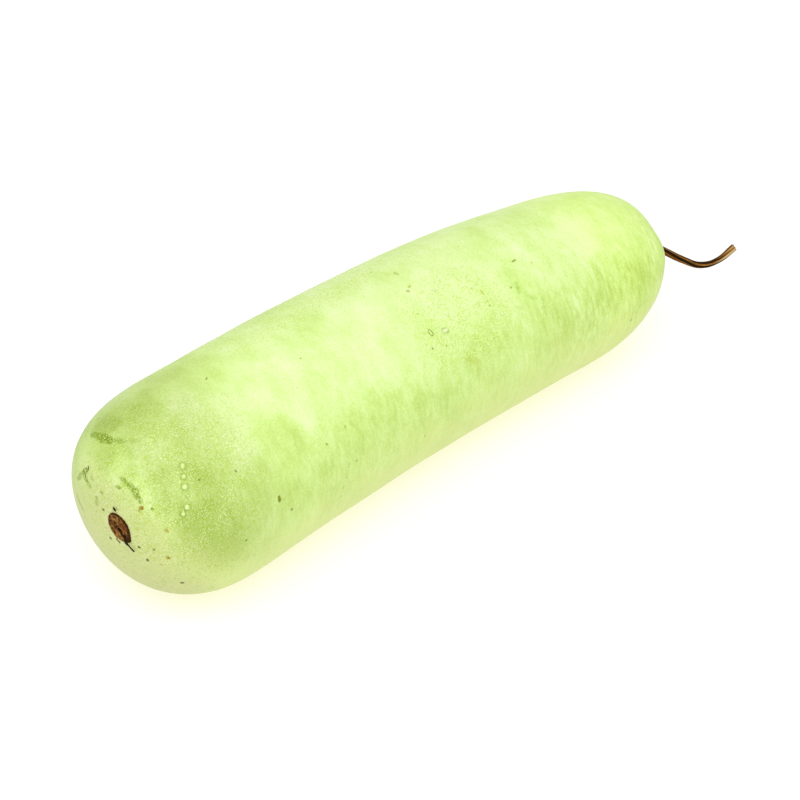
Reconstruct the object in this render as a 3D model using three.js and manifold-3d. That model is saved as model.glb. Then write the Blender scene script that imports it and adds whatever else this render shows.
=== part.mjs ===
import * as THREE from 'three';
import { mergeVertices } from 'three/addons/utils/BufferGeometryUtils.js';
import Module from 'manifold-3d';

// A pale green bottle gourd lying on its side, in millimetres.
// X runs from the blossom end to the stem end, Z is up, and the table is the plane z = 0.
// The origin lies on the table, under the middle of the fruit's length.

// Driving dimensions of the fruit
const FRUIT_LENGTH = 344;
const HALF_WIDTHS = [49.4, 48.7, 48.2, 47.5, 46.5, 43.9, 41.8]; // at even steps from end to end
const SIDE_BEND = [-3.8, 2.5, 4.9, 2.3, -6.1]; // sideways drift of the middle line, at even steps
const HEIGHT_TO_WIDTH = 0.97;
// Each cap's outline is a blunt curve of this power, and drifts sideways and up to its pole
const BLOSSOM_CAP = { length: 56.5, power: 2.7, drift: { y: 3.3, z: 3 } };
const STEM_CAP = { length: 71.3, power: 2.57, drift: { y: 3.4, z: 5 } };
const REST_DEPTH = 0.6; // what the flat resting spot takes off the underside
// The broad, faint unevenness of the body, in waves around it and along it
const SWELL = { height: 0.3, around: 3, along: 9, second: 11 };
const FACE_FADE = 6; // power of the girth by which the end faces' own forms fade out

// The shallow dishes around the blossom scar and around the stem
const SCAR_DISH = { y: -7.8, z: 50.9, depth: 0.4, radius: 11 };
const STEM_DISH = { y: -2.7, z: 44.9, depth: 1.6, radius: 12 };
// A slight hollow beside the stem and a low knob below it
const STEM_HOLLOW = { y: -19, z: 61.5, depth: 0.8, radius: 10 };
const STEM_KNOB = { y: -31, z: 53, depth: -1.3, radius: 8.5 };

// Driving dimensions of the dry blossom scar
const SCAR_X = -171.5; // of the middle of its face, at the floor of the dish
const SCAR_LONG = 14;
const SCAR_SHORT = 12;
const SCAR_TURN = THREE.MathUtils.degToRad(225); // of its long axis, from +Y towards +Z
const SCAR_PLUG_DEPTH = 1.6;
const SCAR_NORMAL = [-1, -0.053, 0.006]; // out of the skin
const SCAR_TAPER = 0.92; // of the plug's bottom to its top
const SCAR_RINGS = [1, 0.94, 0.86, 0.78, 0.66, 0.52, 0.38, 0.25, 0.12]; // parts of its outline
const SCAR_RIM = { height: 0.55, part: 0.86, reach: 0.13 };
const SCAR_PIT = { along: 1.6, across: -0.9, radius: 1.5, depth: 0.8 };
const SCAR_STREAKS = { height: 0.08, waves: 5 };
const FILAMENT_ROUTE = [
  [-171.7, -10.9, 47], [-172.1, -12.4, 45.9], [-172, -13.9, 44.8], [-171.4, -16.5, 42.7],
];
const FILAMENT_RADII = [0.45, 0.3];

// Driving dimensions of the dry stem
const STEM_ROUTE = [
  [167.8, -2.7, 45.1], [171.5, -2.8, 44.9], [177, -4.5, 42.2], [188.1, -10.8, 33.2],
  [195.4, -17.2, 27.6], [203.6, -22.2, 23.2], [211.6, -26.8, 24.3], [219, -31.7, 31.3],
];
const STEM_RADII = [1.65, 1.25]; // past the root flare, and at the tip
const STEM_FLARE = { height: 2.3, reach: 2.6, power: 1.3, plug: 3 };
const STEM_RIBS = { count: 5, depth: 0.14, turns: 0.4 };
const STEM_SPLAY = { height: 0.3, reach: 3 };
const STEM_FRAY = { prongs: 2, height: 0.8, hollow: 0.7 };

// How finely the surfaces are divided, and the clearance between touching pieces
const FRUIT_SIDES = 64;
const CAP_RINGS = 14;
const CAP_RING_POWER = 0.75; // below 1 draws the rings together where a cap meets the body
const POLE_RINGS = [0.06, 0.12]; // parts of the cap's girth
const BODY_RINGS = 21;
const SCAR_SIDES = 36;
const FILAMENT_SIDES = 8;
const FILAMENT_STEPS = 9;
const STEM_SIDES = 20;
const STEM_STEPS = 46;
const SOCKET_STEPS = 7; // of the stem's steps, as far as its socket reaches
const GAP = 0.3;
const CUTTER = { reach: 3, margin: 20 }; // how far the cutting shapes run past the skin

const wasm = await Module();
wasm.setup();

// A smooth curve through values at even steps, read at u from 0 to 1
function through(values, u) {
  const place = u * (values.length - 1);
  const index = Math.min(Math.floor(place), values.length - 2);
  const f = place - index;
  const a = values[index];
  const b = values[index + 1];
  const before = index > 0 ? values[index - 1] : 2 * a - b;
  const after = index + 2 < values.length ? values[index + 2] : 2 * b - a;
  const square = (2 * before - 5 * a + 4 * b - after) * f ** 2;
  const cube = (after - before + 3 * (a - b)) * f ** 3;
  return 0.5 * (2 * a + (b - before) * f + square + cube);
}

// A closed surface over rings of points, each end closed by a fan to a tip
function loft(rings, startTip, endTip) {
  const sides = rings[0].length;
  const positions = [startTip, ...rings.flat(), endTip].flatMap((p) => [p.x, p.y, p.z]);
  const last = rings.length - 1;
  const end = 1 + rings.length * sides;
  const indices = [];
  for (let j = 0; j < sides; j += 1) {
    const k = (j + 1) % sides;
    indices.push(0, 1 + k, 1 + j);
    for (let i = 0; i < last; i += 1) {
      const near = 1 + i * sides;
      const far = near + sides;
      indices.push(near + j, near + k, far + k, near + j, far + k, far + j);
    }
    indices.push(end, 1 + last * sides + j, 1 + last * sides + k);
  }
  const geometry = new THREE.BufferGeometry();
  geometry.setAttribute('position', new THREE.Float32BufferAttribute(positions, 3));
  geometry.setIndex(indices);
  return geometry;
}

// Solids for joining and cutting, and back
function toSolid(geometry) {
  const bare = geometry.clone();
  bare.deleteAttribute('normal');
  bare.deleteAttribute('uv');
  const merged = mergeVertices(bare);
  const mesh = new wasm.Mesh({
    numProp: 3,
    vertProperties: merged.attributes.position.array,
    triVerts: Uint32Array.from(merged.index.array),
  });
  return new wasm.Manifold(mesh);
}

function toGeometry(solid) {
  const mesh = solid.getMesh();
  const geometry = new THREE.BufferGeometry();
  geometry.setAttribute('position', new THREE.BufferAttribute(mesh.vertProperties, 3));
  geometry.setIndex(new THREE.BufferAttribute(mesh.triVerts, 1));
  geometry.computeVertexNormals();
  return geometry;
}

function namedMesh(name, solid, color, roughness) {
  const material = new THREE.MeshStandardMaterial({ color, roughness, metalness: 0 });
  const mesh = new THREE.Mesh(toGeometry(solid), material);
  mesh.name = name;
  return mesh;
}

// Fruit: how far x is into the nearer cap, from 0 where the cap starts to 1 at its pole
function intoCap(x) {
  const fromStem = FRUIT_LENGTH - x;
  const [cap, distance] = x < fromStem ? [BLOSSOM_CAP, x] : [STEM_CAP, fromStem];
  return { cap, into: Math.max(1 - distance / cap.length, 0) };
}

// How far from its pole a cap has the given part of the full girth
function distanceAt(cap, part) {
  return cap.length * (1 - (1 - part ** cap.power) ** (1 / cap.power));
}

function fruitStations() {
  const girths = POLE_RINGS.slice();
  for (let i = 1; i <= CAP_RINGS; i += 1) {
    girths.push(Math.sin((i / CAP_RINGS) * (Math.PI / 2)) ** CAP_RING_POWER);
  }
  const near = girths.map((part) => distanceAt(BLOSSOM_CAP, part));
  const far = girths.map((part) => FRUIT_LENGTH - distanceAt(STEM_CAP, part)).reverse();
  const bodyStart = near[near.length - 1];
  const bodyEnd = far[0];
  const body = [];
  for (let i = 1; i < BODY_RINGS; i += 1) {
    body.push(THREE.MathUtils.lerp(bodyStart, bodyEnd, i / BODY_RINGS));
  }
  return [...near, ...body, ...far];
}

// How far the dishes and swellings let an end face down at a point
function faceDrop(forms, y, z) {
  return forms.reduce((drop, form) => {
    const distance = Math.hypot(y - form.y, z - form.z);
    return drop + form.depth * Math.exp(-((distance / form.radius) ** 2));
  }, 0);
}

function fruitPoint(x, angle) {
  const u = x / FRUIT_LENGTH;
  const halfWidth = through(HALF_WIDTHS, u);
  const { cap, into } = intoCap(x);
  const girth = Math.max(1 - into ** cap.power, 0) ** (1 / cap.power);
  const wave = Math.sin(SWELL.around * angle + SWELL.along * u);
  const swell = SWELL.height * wave * Math.sin(SWELL.second * u + angle);
  const radius = (halfWidth + swell) * girth;
  const y = through(SIDE_BEND, u) + cap.drift.y * into ** 2 + radius * Math.cos(angle);
  const height = halfWidth * HEIGHT_TO_WIDTH - REST_DEPTH + cap.drift.z * into ** 2;
  const z = height + radius * HEIGHT_TO_WIDTH * Math.sin(angle);
  const inward = u < 0.5
    ? faceDrop([SCAR_DISH], y, z)
    : -faceDrop([STEM_DISH, STEM_HOLLOW, STEM_KNOB], y, z);
  const onEndFace = 1 - girth ** FACE_FADE;
  return new THREE.Vector3(x - FRUIT_LENGTH / 2 + inward * onEndFace, y, z);
}

function fruitBody() {
  const rings = fruitStations().map((x) => {
    const ring = [];
    for (let j = 0; j < FRUIT_SIDES; j += 1) {
      ring.push(fruitPoint(x, (j / FRUIT_SIDES) * 2 * Math.PI));
    }
    return ring;
  });
  return toSolid(loft(rings, fruitPoint(0, 0), fruitPoint(FRUIT_LENGTH, 0)));
}

// What lies under the table plane is cut away, which leaves the flat resting spot
function belowTable() {
  const depth = CUTTER.margin;
  const width = 2 * (Math.max(...HALF_WIDTHS) + CUTTER.margin);
  const box = new THREE.BoxGeometry(FRUIT_LENGTH + 2 * CUTTER.margin, width, depth);
  return toSolid(box.translate(0, 0, -depth / 2));
}

// A tube of ribbed rings along a route, with its radius given along its length
function tubeRings(route, steps, sides, radiusAt, grow) {
  const curve = new THREE.CatmullRomCurve3(route.map((p) => new THREE.Vector3(...p)));
  const frames = curve.computeFrenetFrames(steps, false);
  const length = curve.getLength();
  const rings = [];
  for (let i = 0; i <= steps; i += 1) {
    const centre = curve.getPointAt(i / steps);
    const ring = [];
    for (let j = 0; j < sides; j += 1) {
      const angle = (j / sides) * 2 * Math.PI;
      const radius = radiusAt((i / steps) * length, length, angle) + grow;
      const point = centre.clone();
      point.addScaledVector(frames.normals[i], radius * Math.cos(angle));
      point.addScaledVector(frames.binormals[i], radius * Math.sin(angle));
      ring.push(point);
    }
    rings.push(ring);
  }
  return { curve, rings };
}

// Dry stem: a flared root in a socket, five twisted ribs and a frayed, splayed tip
function stemRadius(distance, length, angle) {
  const above = Math.max(distance - STEM_FLARE.plug, 0);
  const core = THREE.MathUtils.lerp(STEM_RADII[0], STEM_RADII[1], distance / length);
  const flare = STEM_FLARE.height * Math.exp(-((above / STEM_FLARE.reach) ** STEM_FLARE.power));
  const splay = STEM_SPLAY.height * THREE.MathUtils.smoothstep(distance, length - STEM_SPLAY.reach, length);
  const twist = STEM_RIBS.turns * 2 * Math.PI * (distance / length);
  const ribs = STEM_RIBS.depth * Math.cos(STEM_RIBS.count * (angle + twist));
  return (core + splay) * (1 + ribs) + flare;
}

function stemBody() {
  const { curve, rings } = tubeRings(STEM_ROUTE, STEM_STEPS, STEM_SIDES, stemRadius, 0);
  const tangent = curve.getTangentAt(1);
  const tip = curve.getPointAt(1).addScaledVector(tangent, -STEM_FRAY.hollow);
  rings[STEM_STEPS].forEach((point, j) => {
    const angle = (j / STEM_SIDES) * 2 * Math.PI;
    point.addScaledVector(tangent, STEM_FRAY.height * Math.cos(STEM_FRAY.prongs * angle));
  });
  return toSolid(loft(rings, curve.getPointAt(0), tip));
}

function stemSocket() {
  const { curve, rings } = tubeRings(STEM_ROUTE, STEM_STEPS, STEM_SIDES, stemRadius, GAP);
  const inSocket = rings.slice(0, SOCKET_STEPS + 1);
  inSocket[0].forEach((point) => {
    point.x -= GAP;
  });
  const start = curve.getPointAt(0);
  start.x -= GAP;
  return toSolid(loft(inSocket, start, curve.getPointAt(SOCKET_STEPS / STEM_STEPS)));
}

// Dry blossom scar: a thin oval disc with a raised rim, an off-centre pit and a filament
function scarFrame() {
  const out = new THREE.Vector3(...SCAR_NORMAL).normalize();
  const rough = new THREE.Vector3(0, Math.cos(SCAR_TURN), Math.sin(SCAR_TURN));
  const short = out.clone().cross(rough).normalize();
  const long = short.clone().cross(out);
  const centre = new THREE.Vector3(SCAR_X, SCAR_DISH.y, SCAR_DISH.z);
  return { centre, out, long, short };
}

// A ring of the scar at a part of its outline, moved out by grow, at a height over the skin
function scarRing(frame, part, heightAt, grow) {
  const ring = [];
  for (let j = 0; j < SCAR_SIDES; j += 1) {
    const angle = (j / SCAR_SIDES) * 2 * Math.PI;
    const along = (part * SCAR_LONG / 2 + grow) * Math.cos(angle);
    const across = (part * SCAR_SHORT / 2 + grow) * Math.sin(angle);
    const point = frame.centre.clone();
    point.addScaledVector(frame.long, along);
    point.addScaledVector(frame.short, across);
    point.addScaledVector(frame.out, heightAt(along, across));
    ring.push(point);
  }
  return ring;
}

function scarTop(part, along, across) {
  const rim = SCAR_RIM.height * Math.exp(-(((part - SCAR_RIM.part) / SCAR_RIM.reach) ** 2));
  const toPit = Math.hypot(along - SCAR_PIT.along, across - SCAR_PIT.across);
  const pit = SCAR_PIT.depth * Math.exp(-((toPit / SCAR_PIT.radius) ** 2));
  const streaks = SCAR_STREAKS.height * Math.sin(SCAR_STREAKS.waves * across);
  return rim - pit + streaks * (1 - part);
}

function scarBody(frame) {
  const rings = [scarRing(frame, SCAR_TAPER, () => -SCAR_PLUG_DEPTH, 0)];
  SCAR_RINGS.forEach((part) => {
    rings.push(scarRing(frame, part, (along, across) => scarTop(part, along, across), 0));
  });
  const bottom = frame.centre.clone().addScaledVector(frame.out, -SCAR_PLUG_DEPTH);
  const top = frame.centre.clone().addScaledVector(frame.out, scarTop(0, 0, 0));
  const disc = toSolid(loft(rings, bottom, top));
  const radiusAt = (distance, length) => THREE.MathUtils.lerp(...FILAMENT_RADII, distance / length);
  const { curve, rings: tube } = tubeRings(FILAMENT_ROUTE, FILAMENT_STEPS, FILAMENT_SIDES, radiusAt, 0);
  const filament = toSolid(loft(tube, curve.getPointAt(0), curve.getPointAt(1)));
  return disc.add(filament);
}

function scarSocket(frame) {
  const floor = -SCAR_PLUG_DEPTH - GAP;
  const rings = [
    scarRing(frame, SCAR_TAPER, () => floor, GAP),
    scarRing(frame, 1, () => 0, GAP),
    scarRing(frame, 1, () => CUTTER.reach, GAP),
  ];
  const bottom = frame.centre.clone().addScaledVector(frame.out, floor);
  const top = frame.centre.clone().addScaledVector(frame.out, CUTTER.reach);
  return toSolid(loft(rings, bottom, top));
}

const frame = scarFrame();
const fruit = fruitBody().subtract(belowTable()).subtract(stemSocket()).subtract(scarSocket(frame));

const group = new THREE.Group();
group.add(namedMesh('fruit', fruit, 0xd3e89a, 0.45));
group.add(namedMesh('stem', stemBody(), 0x7d5a30, 0.8));
group.add(namedMesh('blossom_scar', scarBody(frame), 0x5b3b22, 0.85));

export default group;
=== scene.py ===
"""A bottle gourd lying on its side, with its dry stem, blossom scar and water drops, on a stage."""

import math

import bpy
from bpy.props import (
    FloatProperty,
    FloatVectorProperty,
    IntProperty,
    PointerProperty,
)
from mathutils import Matrix, Vector


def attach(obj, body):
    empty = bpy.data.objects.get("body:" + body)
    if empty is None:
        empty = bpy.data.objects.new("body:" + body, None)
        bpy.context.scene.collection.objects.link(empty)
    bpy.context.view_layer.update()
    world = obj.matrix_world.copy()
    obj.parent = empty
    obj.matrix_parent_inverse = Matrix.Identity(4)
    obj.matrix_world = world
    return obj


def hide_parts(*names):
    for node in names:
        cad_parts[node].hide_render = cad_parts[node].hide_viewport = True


bl_info = {
    "name": "Bottle Gourd",
    "version": (1, 0, 0),
    "blender": (4, 5, 0),
    "location": "View3D > Sidebar > Gourd",
    "description": "Models a bottle gourd with its stem, scar and water drops",
    "category": "Add Mesh",
}

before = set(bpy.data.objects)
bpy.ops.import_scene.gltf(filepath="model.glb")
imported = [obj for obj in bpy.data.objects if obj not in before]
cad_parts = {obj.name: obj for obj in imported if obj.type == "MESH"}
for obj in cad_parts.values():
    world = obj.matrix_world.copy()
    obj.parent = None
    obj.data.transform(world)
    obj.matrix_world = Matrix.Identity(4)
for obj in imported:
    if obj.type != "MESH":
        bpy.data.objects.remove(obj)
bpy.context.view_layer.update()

MM = 0.001
BODY = "root"
FULL_TURN = 2 * math.pi

# In millimetres: how near counts as the same place, how near a ring's plane counts as in it,
# and how close two points are when they merge
SAME_PLACE = 0.0001
RING_PLANE = 0.01
MERGE_DISTANCE = 0.001

# The fruit along its length, in millimetres, from the blossom end to the stem end
FRUIT_LENGTH = 344
HALF_WIDTHS = (49.4, 48.7, 48.2, 47.5, 46.5, 43.9, 41.8)
SIDE_BEND = (-3.8, 2.5, 4.9, 2.3, -6.1)
HEIGHT_TO_WIDTH = 0.97
REST_DEPTH = 0.6
# What smoothing takes off the half width
ROUNDING_LOSS = 0.3
BLOSSOM_CAP = {"length": 56.5, "power": 2.7, "drift": (3.3, 3.0)}
STEM_CAP = {"length": 71.3, "power": 2.57, "drift": (3.4, 5.0)}

# Dishes, sockets, a hollow and a knob at the two ends: centre, shift along the fruit and reach,
# in millimetres
SCAR_DISH = {"centre": (-172, -7.8, 50.9), "shift": 0.4, "reach": 22}
STEM_DISH = {"centre": (172, -2.7, 44.9), "shift": -1.6, "reach": 24}
SCAR_SOCKET = {"centre": (-172, -7.8, 50.9), "shift": 1.8, "reach": 6.6}
STEM_HOLLOW = {"centre": (164.6, -19.1, 61.7), "shift": -0.8, "reach": 17}
STEM_KNOB = {"centre": (158.1, -31.1, 53), "shift": 1.3, "reach": 14.4}

# The blossom scar: its centre in millimetres, the way it faces and how its long way is turned
SCAR_CENTRE = (-171.5, -7.8, 50.9)
SCAR_OUT = (-1, -0.053, 0.006)
SCAR_TURN = math.radians(225)

# The stem's centreline from root to tip and its half thickness at each point, in millimetres
STEM_ROUTE = (
    (167.8, -2.7, 45.1),
    (171.2, -2.75, 44.95),
    (173.9, -3.3, 43.9),
    (177, -4.5, 42.2),
    (188.1, -10.8, 33.2),
    (195.4, -17.2, 27.6),
    (203.6, -22.2, 23.2),
    (211.6, -26.8, 24.3),
    (219, -31.7, 31.3),
)
STEM_RADII = (4.2, 3.7, 2.75, 2.25, 1.97, 1.87, 1.76, 1.62, 2.0)
# How many turns its ribs make on the way
STEM_TWIST = 0.4

# The dried filament's centreline and half thickness, in millimetres
FILAMENT_ROUTE = (
    (-171.0, -11.1, 46.9),
    (-172.1, -12.4, 45.9),
    (-172, -13.9, 44.8),
    (-171.4, -16.5, 42.7),
)
FILAMENT_RADII = (0.85, 0.66, 0.3, 0.36)


def millimetres(point):
    """A point given in millimetres, as a vector in metres."""
    return Vector(point) * MM


def start_piece():
    """Leaves edit mode and deselects everything."""
    if bpy.context.object and bpy.context.object.mode != "OBJECT":
        bpy.ops.object.mode_set(mode="OBJECT")
    bpy.ops.object.select_all(action="DESELECT")


def pick(piece):
    """Selects one piece alone and makes it the active one."""
    start_piece()
    piece.select_set(True)
    bpy.context.view_layer.objects.active = piece


def freeze():
    """Applies the active piece's place, turn and size to its mesh."""
    bpy.ops.object.transform_apply(location=True, rotation=True, scale=True)


def edit(piece):
    """Enters edit mode on one piece with nothing in it selected."""
    pick(piece)
    bpy.ops.object.mode_set(mode="EDIT")
    bpy.ops.mesh.select_all(action="DESELECT")


def select_where(piece, test):
    """Selects the vertices of a piece that pass a test of their place, and stays in edit mode."""
    bpy.ops.object.mode_set(mode="EDIT")
    bpy.ops.mesh.select_mode(type="VERT")
    bpy.ops.mesh.select_all(action="DESELECT")
    bpy.ops.object.mode_set(mode="OBJECT")
    for vertex in piece.data.vertices:
        vertex.select = bool(test(vertex.co))
    bpy.ops.object.mode_set(mode="EDIT")


def select_nearest(piece, point):
    """Selects the one vertex nearest to a point, and stays in edit mode."""
    nearest = min((vertex.co - point).length for vertex in piece.data.vertices)
    select_where(piece, lambda co: (co - point).length <= nearest + SAME_PLACE * MM)


def settle_order(corner):
    """Puts the points, edges and faces being edited in one fixed order, nearest to a corner first."""
    cursor = bpy.context.scene.cursor
    cursor.location = millimetres(corner)
    bpy.ops.mesh.select_all(action="SELECT")
    bpy.ops.mesh.sort_elements(type="CURSOR_DISTANCE", elements={"VERT", "EDGE", "FACE"})
    cursor.location = (0, 0, 0)


def press(piece, centre, shift, reach):
    """Moves the surface around a point, fading out with distance."""
    select_nearest(piece, centre)
    bpy.ops.transform.translate(
        value=shift,
        use_proportional_edit=True,
        proportional_edit_falloff="SMOOTH",
        proportional_size=reach,
    )


def apply_modifier(piece, kind, **options):
    """Adds one modifier to a piece, sets it and applies it."""
    pick(piece)
    modifier = piece.modifiers.new(kind.title(), kind)
    for option, value in options.items():
        setattr(modifier, option, value)
    bpy.ops.object.modifier_apply(modifier=modifier.name)


def subdivide(piece, levels):
    """Rounds a piece with a subdivision surface."""
    apply_modifier(piece, "SUBSURF", levels=levels, render_levels=levels)


def roughen(piece, width, height):
    """Moves the surface in and out by a cloud noise of one width and height, in millimetres."""
    texture = bpy.data.textures.new("relief", "CLOUDS")
    texture.noise_scale = width * MM
    apply_modifier(piece, "DISPLACE", texture=texture, strength=height * MM, mid_level=0.5)
    bpy.data.textures.remove(texture)


def shade_smooth(piece):
    """Shades a whole piece smooth."""
    pick(piece)
    bpy.ops.object.shade_smooth()


def dress(piece, name, material, node=None):
    """Names a piece, gives it its material, and ties it to the frame."""
    start_piece()
    piece.name = name
    piece.data.name = name
    piece.data.materials.clear()
    piece.data.materials.append(material)
    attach(piece, BODY)
    if node:
        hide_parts(node)
    return piece


class Weaver:
    """Adds nodes to one tree, setting or linking their sockets as they are made."""

    def __init__(self, tree):
        self.tree = tree

    def node(self, kind, sockets=None, **options):
        """A new node with its options set and its sockets given values or links."""
        made = self.tree.nodes.new(kind)
        for option, value in options.items():
            setattr(made, option, value)
        for socket, value in (sockets or {}).items():
            if isinstance(value, bpy.types.NodeSocket):
                self.tree.links.new(value, made.inputs[socket])
            else:
                made.inputs[socket].default_value = value
        return made

    def maths(self, operation, first, second=0.0, third=0.0):
        """One arithmetic step on two or three numbers."""
        sockets = {0: first, 1: second, 2: third}
        return self.node("ShaderNodeMath", sockets, operation=operation).outputs[0]

    def vector(self, operation, first, second=(0, 0, 0), third=(0, 0, 0)):
        """One step on two or three vectors, as the node that does it."""
        sockets = {0: first, 1: second, 2: third}
        return self.node("ShaderNodeVectorMath", sockets, operation=operation)

    def stir(self, place, scale, reach):
        """A place moved about by a cloud noise, so that shapes get ragged, with its reach in mm."""
        sockets = {"Vector": place, "Scale": scale, "Detail": 3.0}
        cloud = self.node("ShaderNodeTexNoise", sockets).outputs["Color"]
        centred = self.vector("SUBTRACT", cloud, (0.5, 0.5, 0.5)).outputs[0]
        return self.vector("MULTIPLY_ADD", centred, [reach * MM] * 3, place).outputs[0]

    def swing(self, value, amount):
        """A noise from 0 to 1 turned into a change above and below nought."""
        return self.product(self.maths("SUBTRACT", value, 0.5), amount)

    def fold(self, operation, values):
        """One arithmetic step carried through several numbers."""
        result = values[0]
        for value in values[1:]:
            result = self.maths(operation, result, value)
        return result

    def total(self, *values):
        """The sum of several numbers."""
        return self.fold("ADD", values)

    def product(self, *values):
        """Several numbers multiplied together."""
        return self.fold("MULTIPLY", values)

    def own_place(self):
        """A place in the object's own coordinates."""
        return self.node("ShaderNodeTexCoord").outputs["Object"]

    def axes(self, place):
        """How far a place lies along, across and up."""
        return self.node("ShaderNodeSeparateXYZ", {0: place}).outputs

    def distance(self, place, point):
        """How far a place is from a point given in millimetres."""
        return self.vector("DISTANCE", place, millimetres(point)).outputs["Value"]

    def fade(self, value, low, high, start=0.0, end=1.0):
        """A smooth step between two limits."""
        sockets = {"Value": value, "From Min": low, "From Max": high, "To Min": start, "To Max": end}
        return self.node("ShaderNodeMapRange", sockets, interpolation_type="SMOOTHSTEP").outputs[0]

    def over(self, value, low, high, start=0.0, end=1.0):
        """A smooth step between two distances in millimetres."""
        return self.fade(value, low * MM, high * MM, start, end)

    def noise(self, place, scale, detail=2.0, roughness=0.5, distortion=0.0):
        """A cloud noise from 0 to 1 with its lumps a size of 1 / scale metres."""
        sockets = {
            "Vector": place,
            "Scale": scale,
            "Detail": detail,
            "Roughness": roughness,
            "Distortion": distortion,
        }
        return self.node("ShaderNodeTexNoise", sockets).outputs[0]

    def stretch(self, place, scale, turn=(0, 0, 0), shift=(0, 0, 0)):
        """A place turned, stretched and moved."""
        sockets = {"Vector": place, "Scale": scale, "Rotation": turn, "Location": shift}
        return self.node("ShaderNodeMapping", sockets).outputs[0]

    def mix(self, share, first, second, blend="MIX"):
        """Two colours mixed by a share, each of them linked or given as red, green and blue."""
        first, second = (
            colour if isinstance(colour, bpy.types.NodeSocket) else (*colour, 1)
            for colour in (first, second)
        )
        sockets = {0: share, 6: first, 7: second}
        return self.node(
            "ShaderNodeMix", sockets, data_type="RGBA", blend_type=blend
        ).outputs[2]

    def ramp(self, value, places, colours):
        """A colour ramp with a colour at each of several places."""
        made = self.node("ShaderNodeValToRGB", {"Fac": value})
        elements = made.color_ramp.elements
        while len(elements) < len(places):
            elements.new(0.5)
        for element, place, colour in zip(elements, places, colours):
            element.position = place
            element.color = (*colour, 1)
        return made.outputs[0]

    def paint(self, shader, colour):
        """Gives a surface its colour."""
        self.tree.links.new(colour, shader.inputs["Base Color"])

    def bump(self, shader, height, strength, depth):
        """Gives a surface fine relief of a depth in millimetres."""
        sockets = {"Strength": strength, "Distance": depth * MM, "Height": height}
        relief = self.node("ShaderNodeBump", sockets).outputs[0]
        self.tree.links.new(relief, shader.inputs["Normal"])


def new_material(name, **surface):
    """A material with one surface shader, whose constant values are set here."""
    material = bpy.data.materials.new(name)
    material.use_nodes = True
    tree = material.node_tree
    shader = next(node for node in tree.nodes if node.type == "BSDF_PRINCIPLED")
    for socket, value in surface.items():
        shader.inputs[socket.replace("_", " ")].default_value = value
    return material, shader, Weaver(tree)


def colour_property(name, description, default):
    """A linear colour that a user can change."""
    return FloatVectorProperty(
        name=name, description=description, subtype="COLOR", min=0, max=1, size=3, default=default
    )


class FruitSettings(bpy.types.PropertyGroup):
    """Shape and colours of the fruit."""

    sides: IntProperty(
        name="Sides", description="Points round the fruit before smoothing", default=64, min=16, max=128
    )
    body_rings: IntProperty(
        name="Body rings", description="Rings along the straight middle", default=30, min=8, max=60
    )
    cap_rings: IntProperty(
        name="Cap rings", description="Rings on each rounded end", default=13, min=6, max=30
    )
    swell: FloatProperty(
        name="Swell", description="Height of the broad unevenness", default=0.5 * MM, unit="LENGTH"
    )
    grain: FloatProperty(
        name="Grain", description="Height of the fine unevenness", default=0.1 * MM, unit="LENGTH"
    )
    pale: colour_property("Pale", "Skin where it is palest", (0.60, 0.71, 0.352))
    fresh: colour_property("Fresh", "Usual colour of the skin", (0.485, 0.643, 0.203))
    deep: colour_property("Deep", "Skin where it is greenest", (0.385, 0.52, 0.112))
    # Painted bounce light from the floor: a lighter, yellower green mixed into the skin low down
    floor_bounce: colour_property("Belly", "Yellower skin low down", (0.665, 0.735, 0.268))
    blossom_end: colour_property("Blossom end", "Greyer skin round the scar", (0.505, 0.535, 0.225))
    scuff: colour_property("Scuff", "Bruised green of the scuffs", (0.15, 0.235, 0.0))


class StemSettings(bpy.types.PropertyGroup):
    """Shape and colours of the dry stem."""

    profile_points: IntProperty(
        name="Profile points", description="Points round the stem", default=40, min=20, max=80
    )
    rib: colour_property("Rib", "Raised ribs of the stem", (0.225, 0.096, 0.009))
    bark: colour_property("Bark", "Usual brown of the stem", (0.06, 0.021, 0.0015))
    groove: colour_property("Groove", "Grooves between the ribs", (0.010, 0.003, 0.0004))
    tip: colour_property("Tip", "Frayed pale tip", (0.46, 0.33, 0.15))
    russet: colour_property("Russet", "Redder lower side near the fruit", (0.19, 0.052, 0.001))


class ScarSettings(bpy.types.PropertyGroup):
    """Shape and colours of the blossom scar."""

    length: FloatProperty(
        name="Length", description="Long way across the scar", default=14 * MM, unit="LENGTH"
    )
    width: FloatProperty(
        name="Width", description="Short way across the scar", default=12 * MM, unit="LENGTH"
    )
    cork: colour_property("Cork", "Usual colour of the scar", (0.125, 0.045, 0.007))
    # Partly the scar's own dark brown and partly painted shade in its pit and pressed-in groove
    bark: colour_property("Bark", "Dark rim and pit", (0.011, 0.003, 0.0005))
    straw: colour_property("Straw", "Pale streaks", (0.29, 0.15, 0.036))
    russet: colour_property("Russet", "Redder parts of the scar", (0.12, 0.032, 0.006))
    orange: colour_property("Orange", "Brightest parts of the scar", (0.30, 0.11, 0.018))
    # Partly the scar's own brown and partly painted shade of its raised rim
    rim: colour_property("Rim", "Dark brown round the edge", (0.038, 0.014, 0.002))


class WaterSettings(bpy.types.PropertyGroup):
    """Amount and size of the water drops."""

    seed: IntProperty(name="Seed", description="Draw of the fine drops", default=4, min=0)
    fine_radius: FloatProperty(
        name="Fine radius", description="Radius of a fine drop", default=0.3 * MM, unit="LENGTH"
    )
    spacing: FloatProperty(
        name="Spacing", description="Least way between fine drops", default=0.95 * MM, unit="LENGTH"
    )


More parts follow.
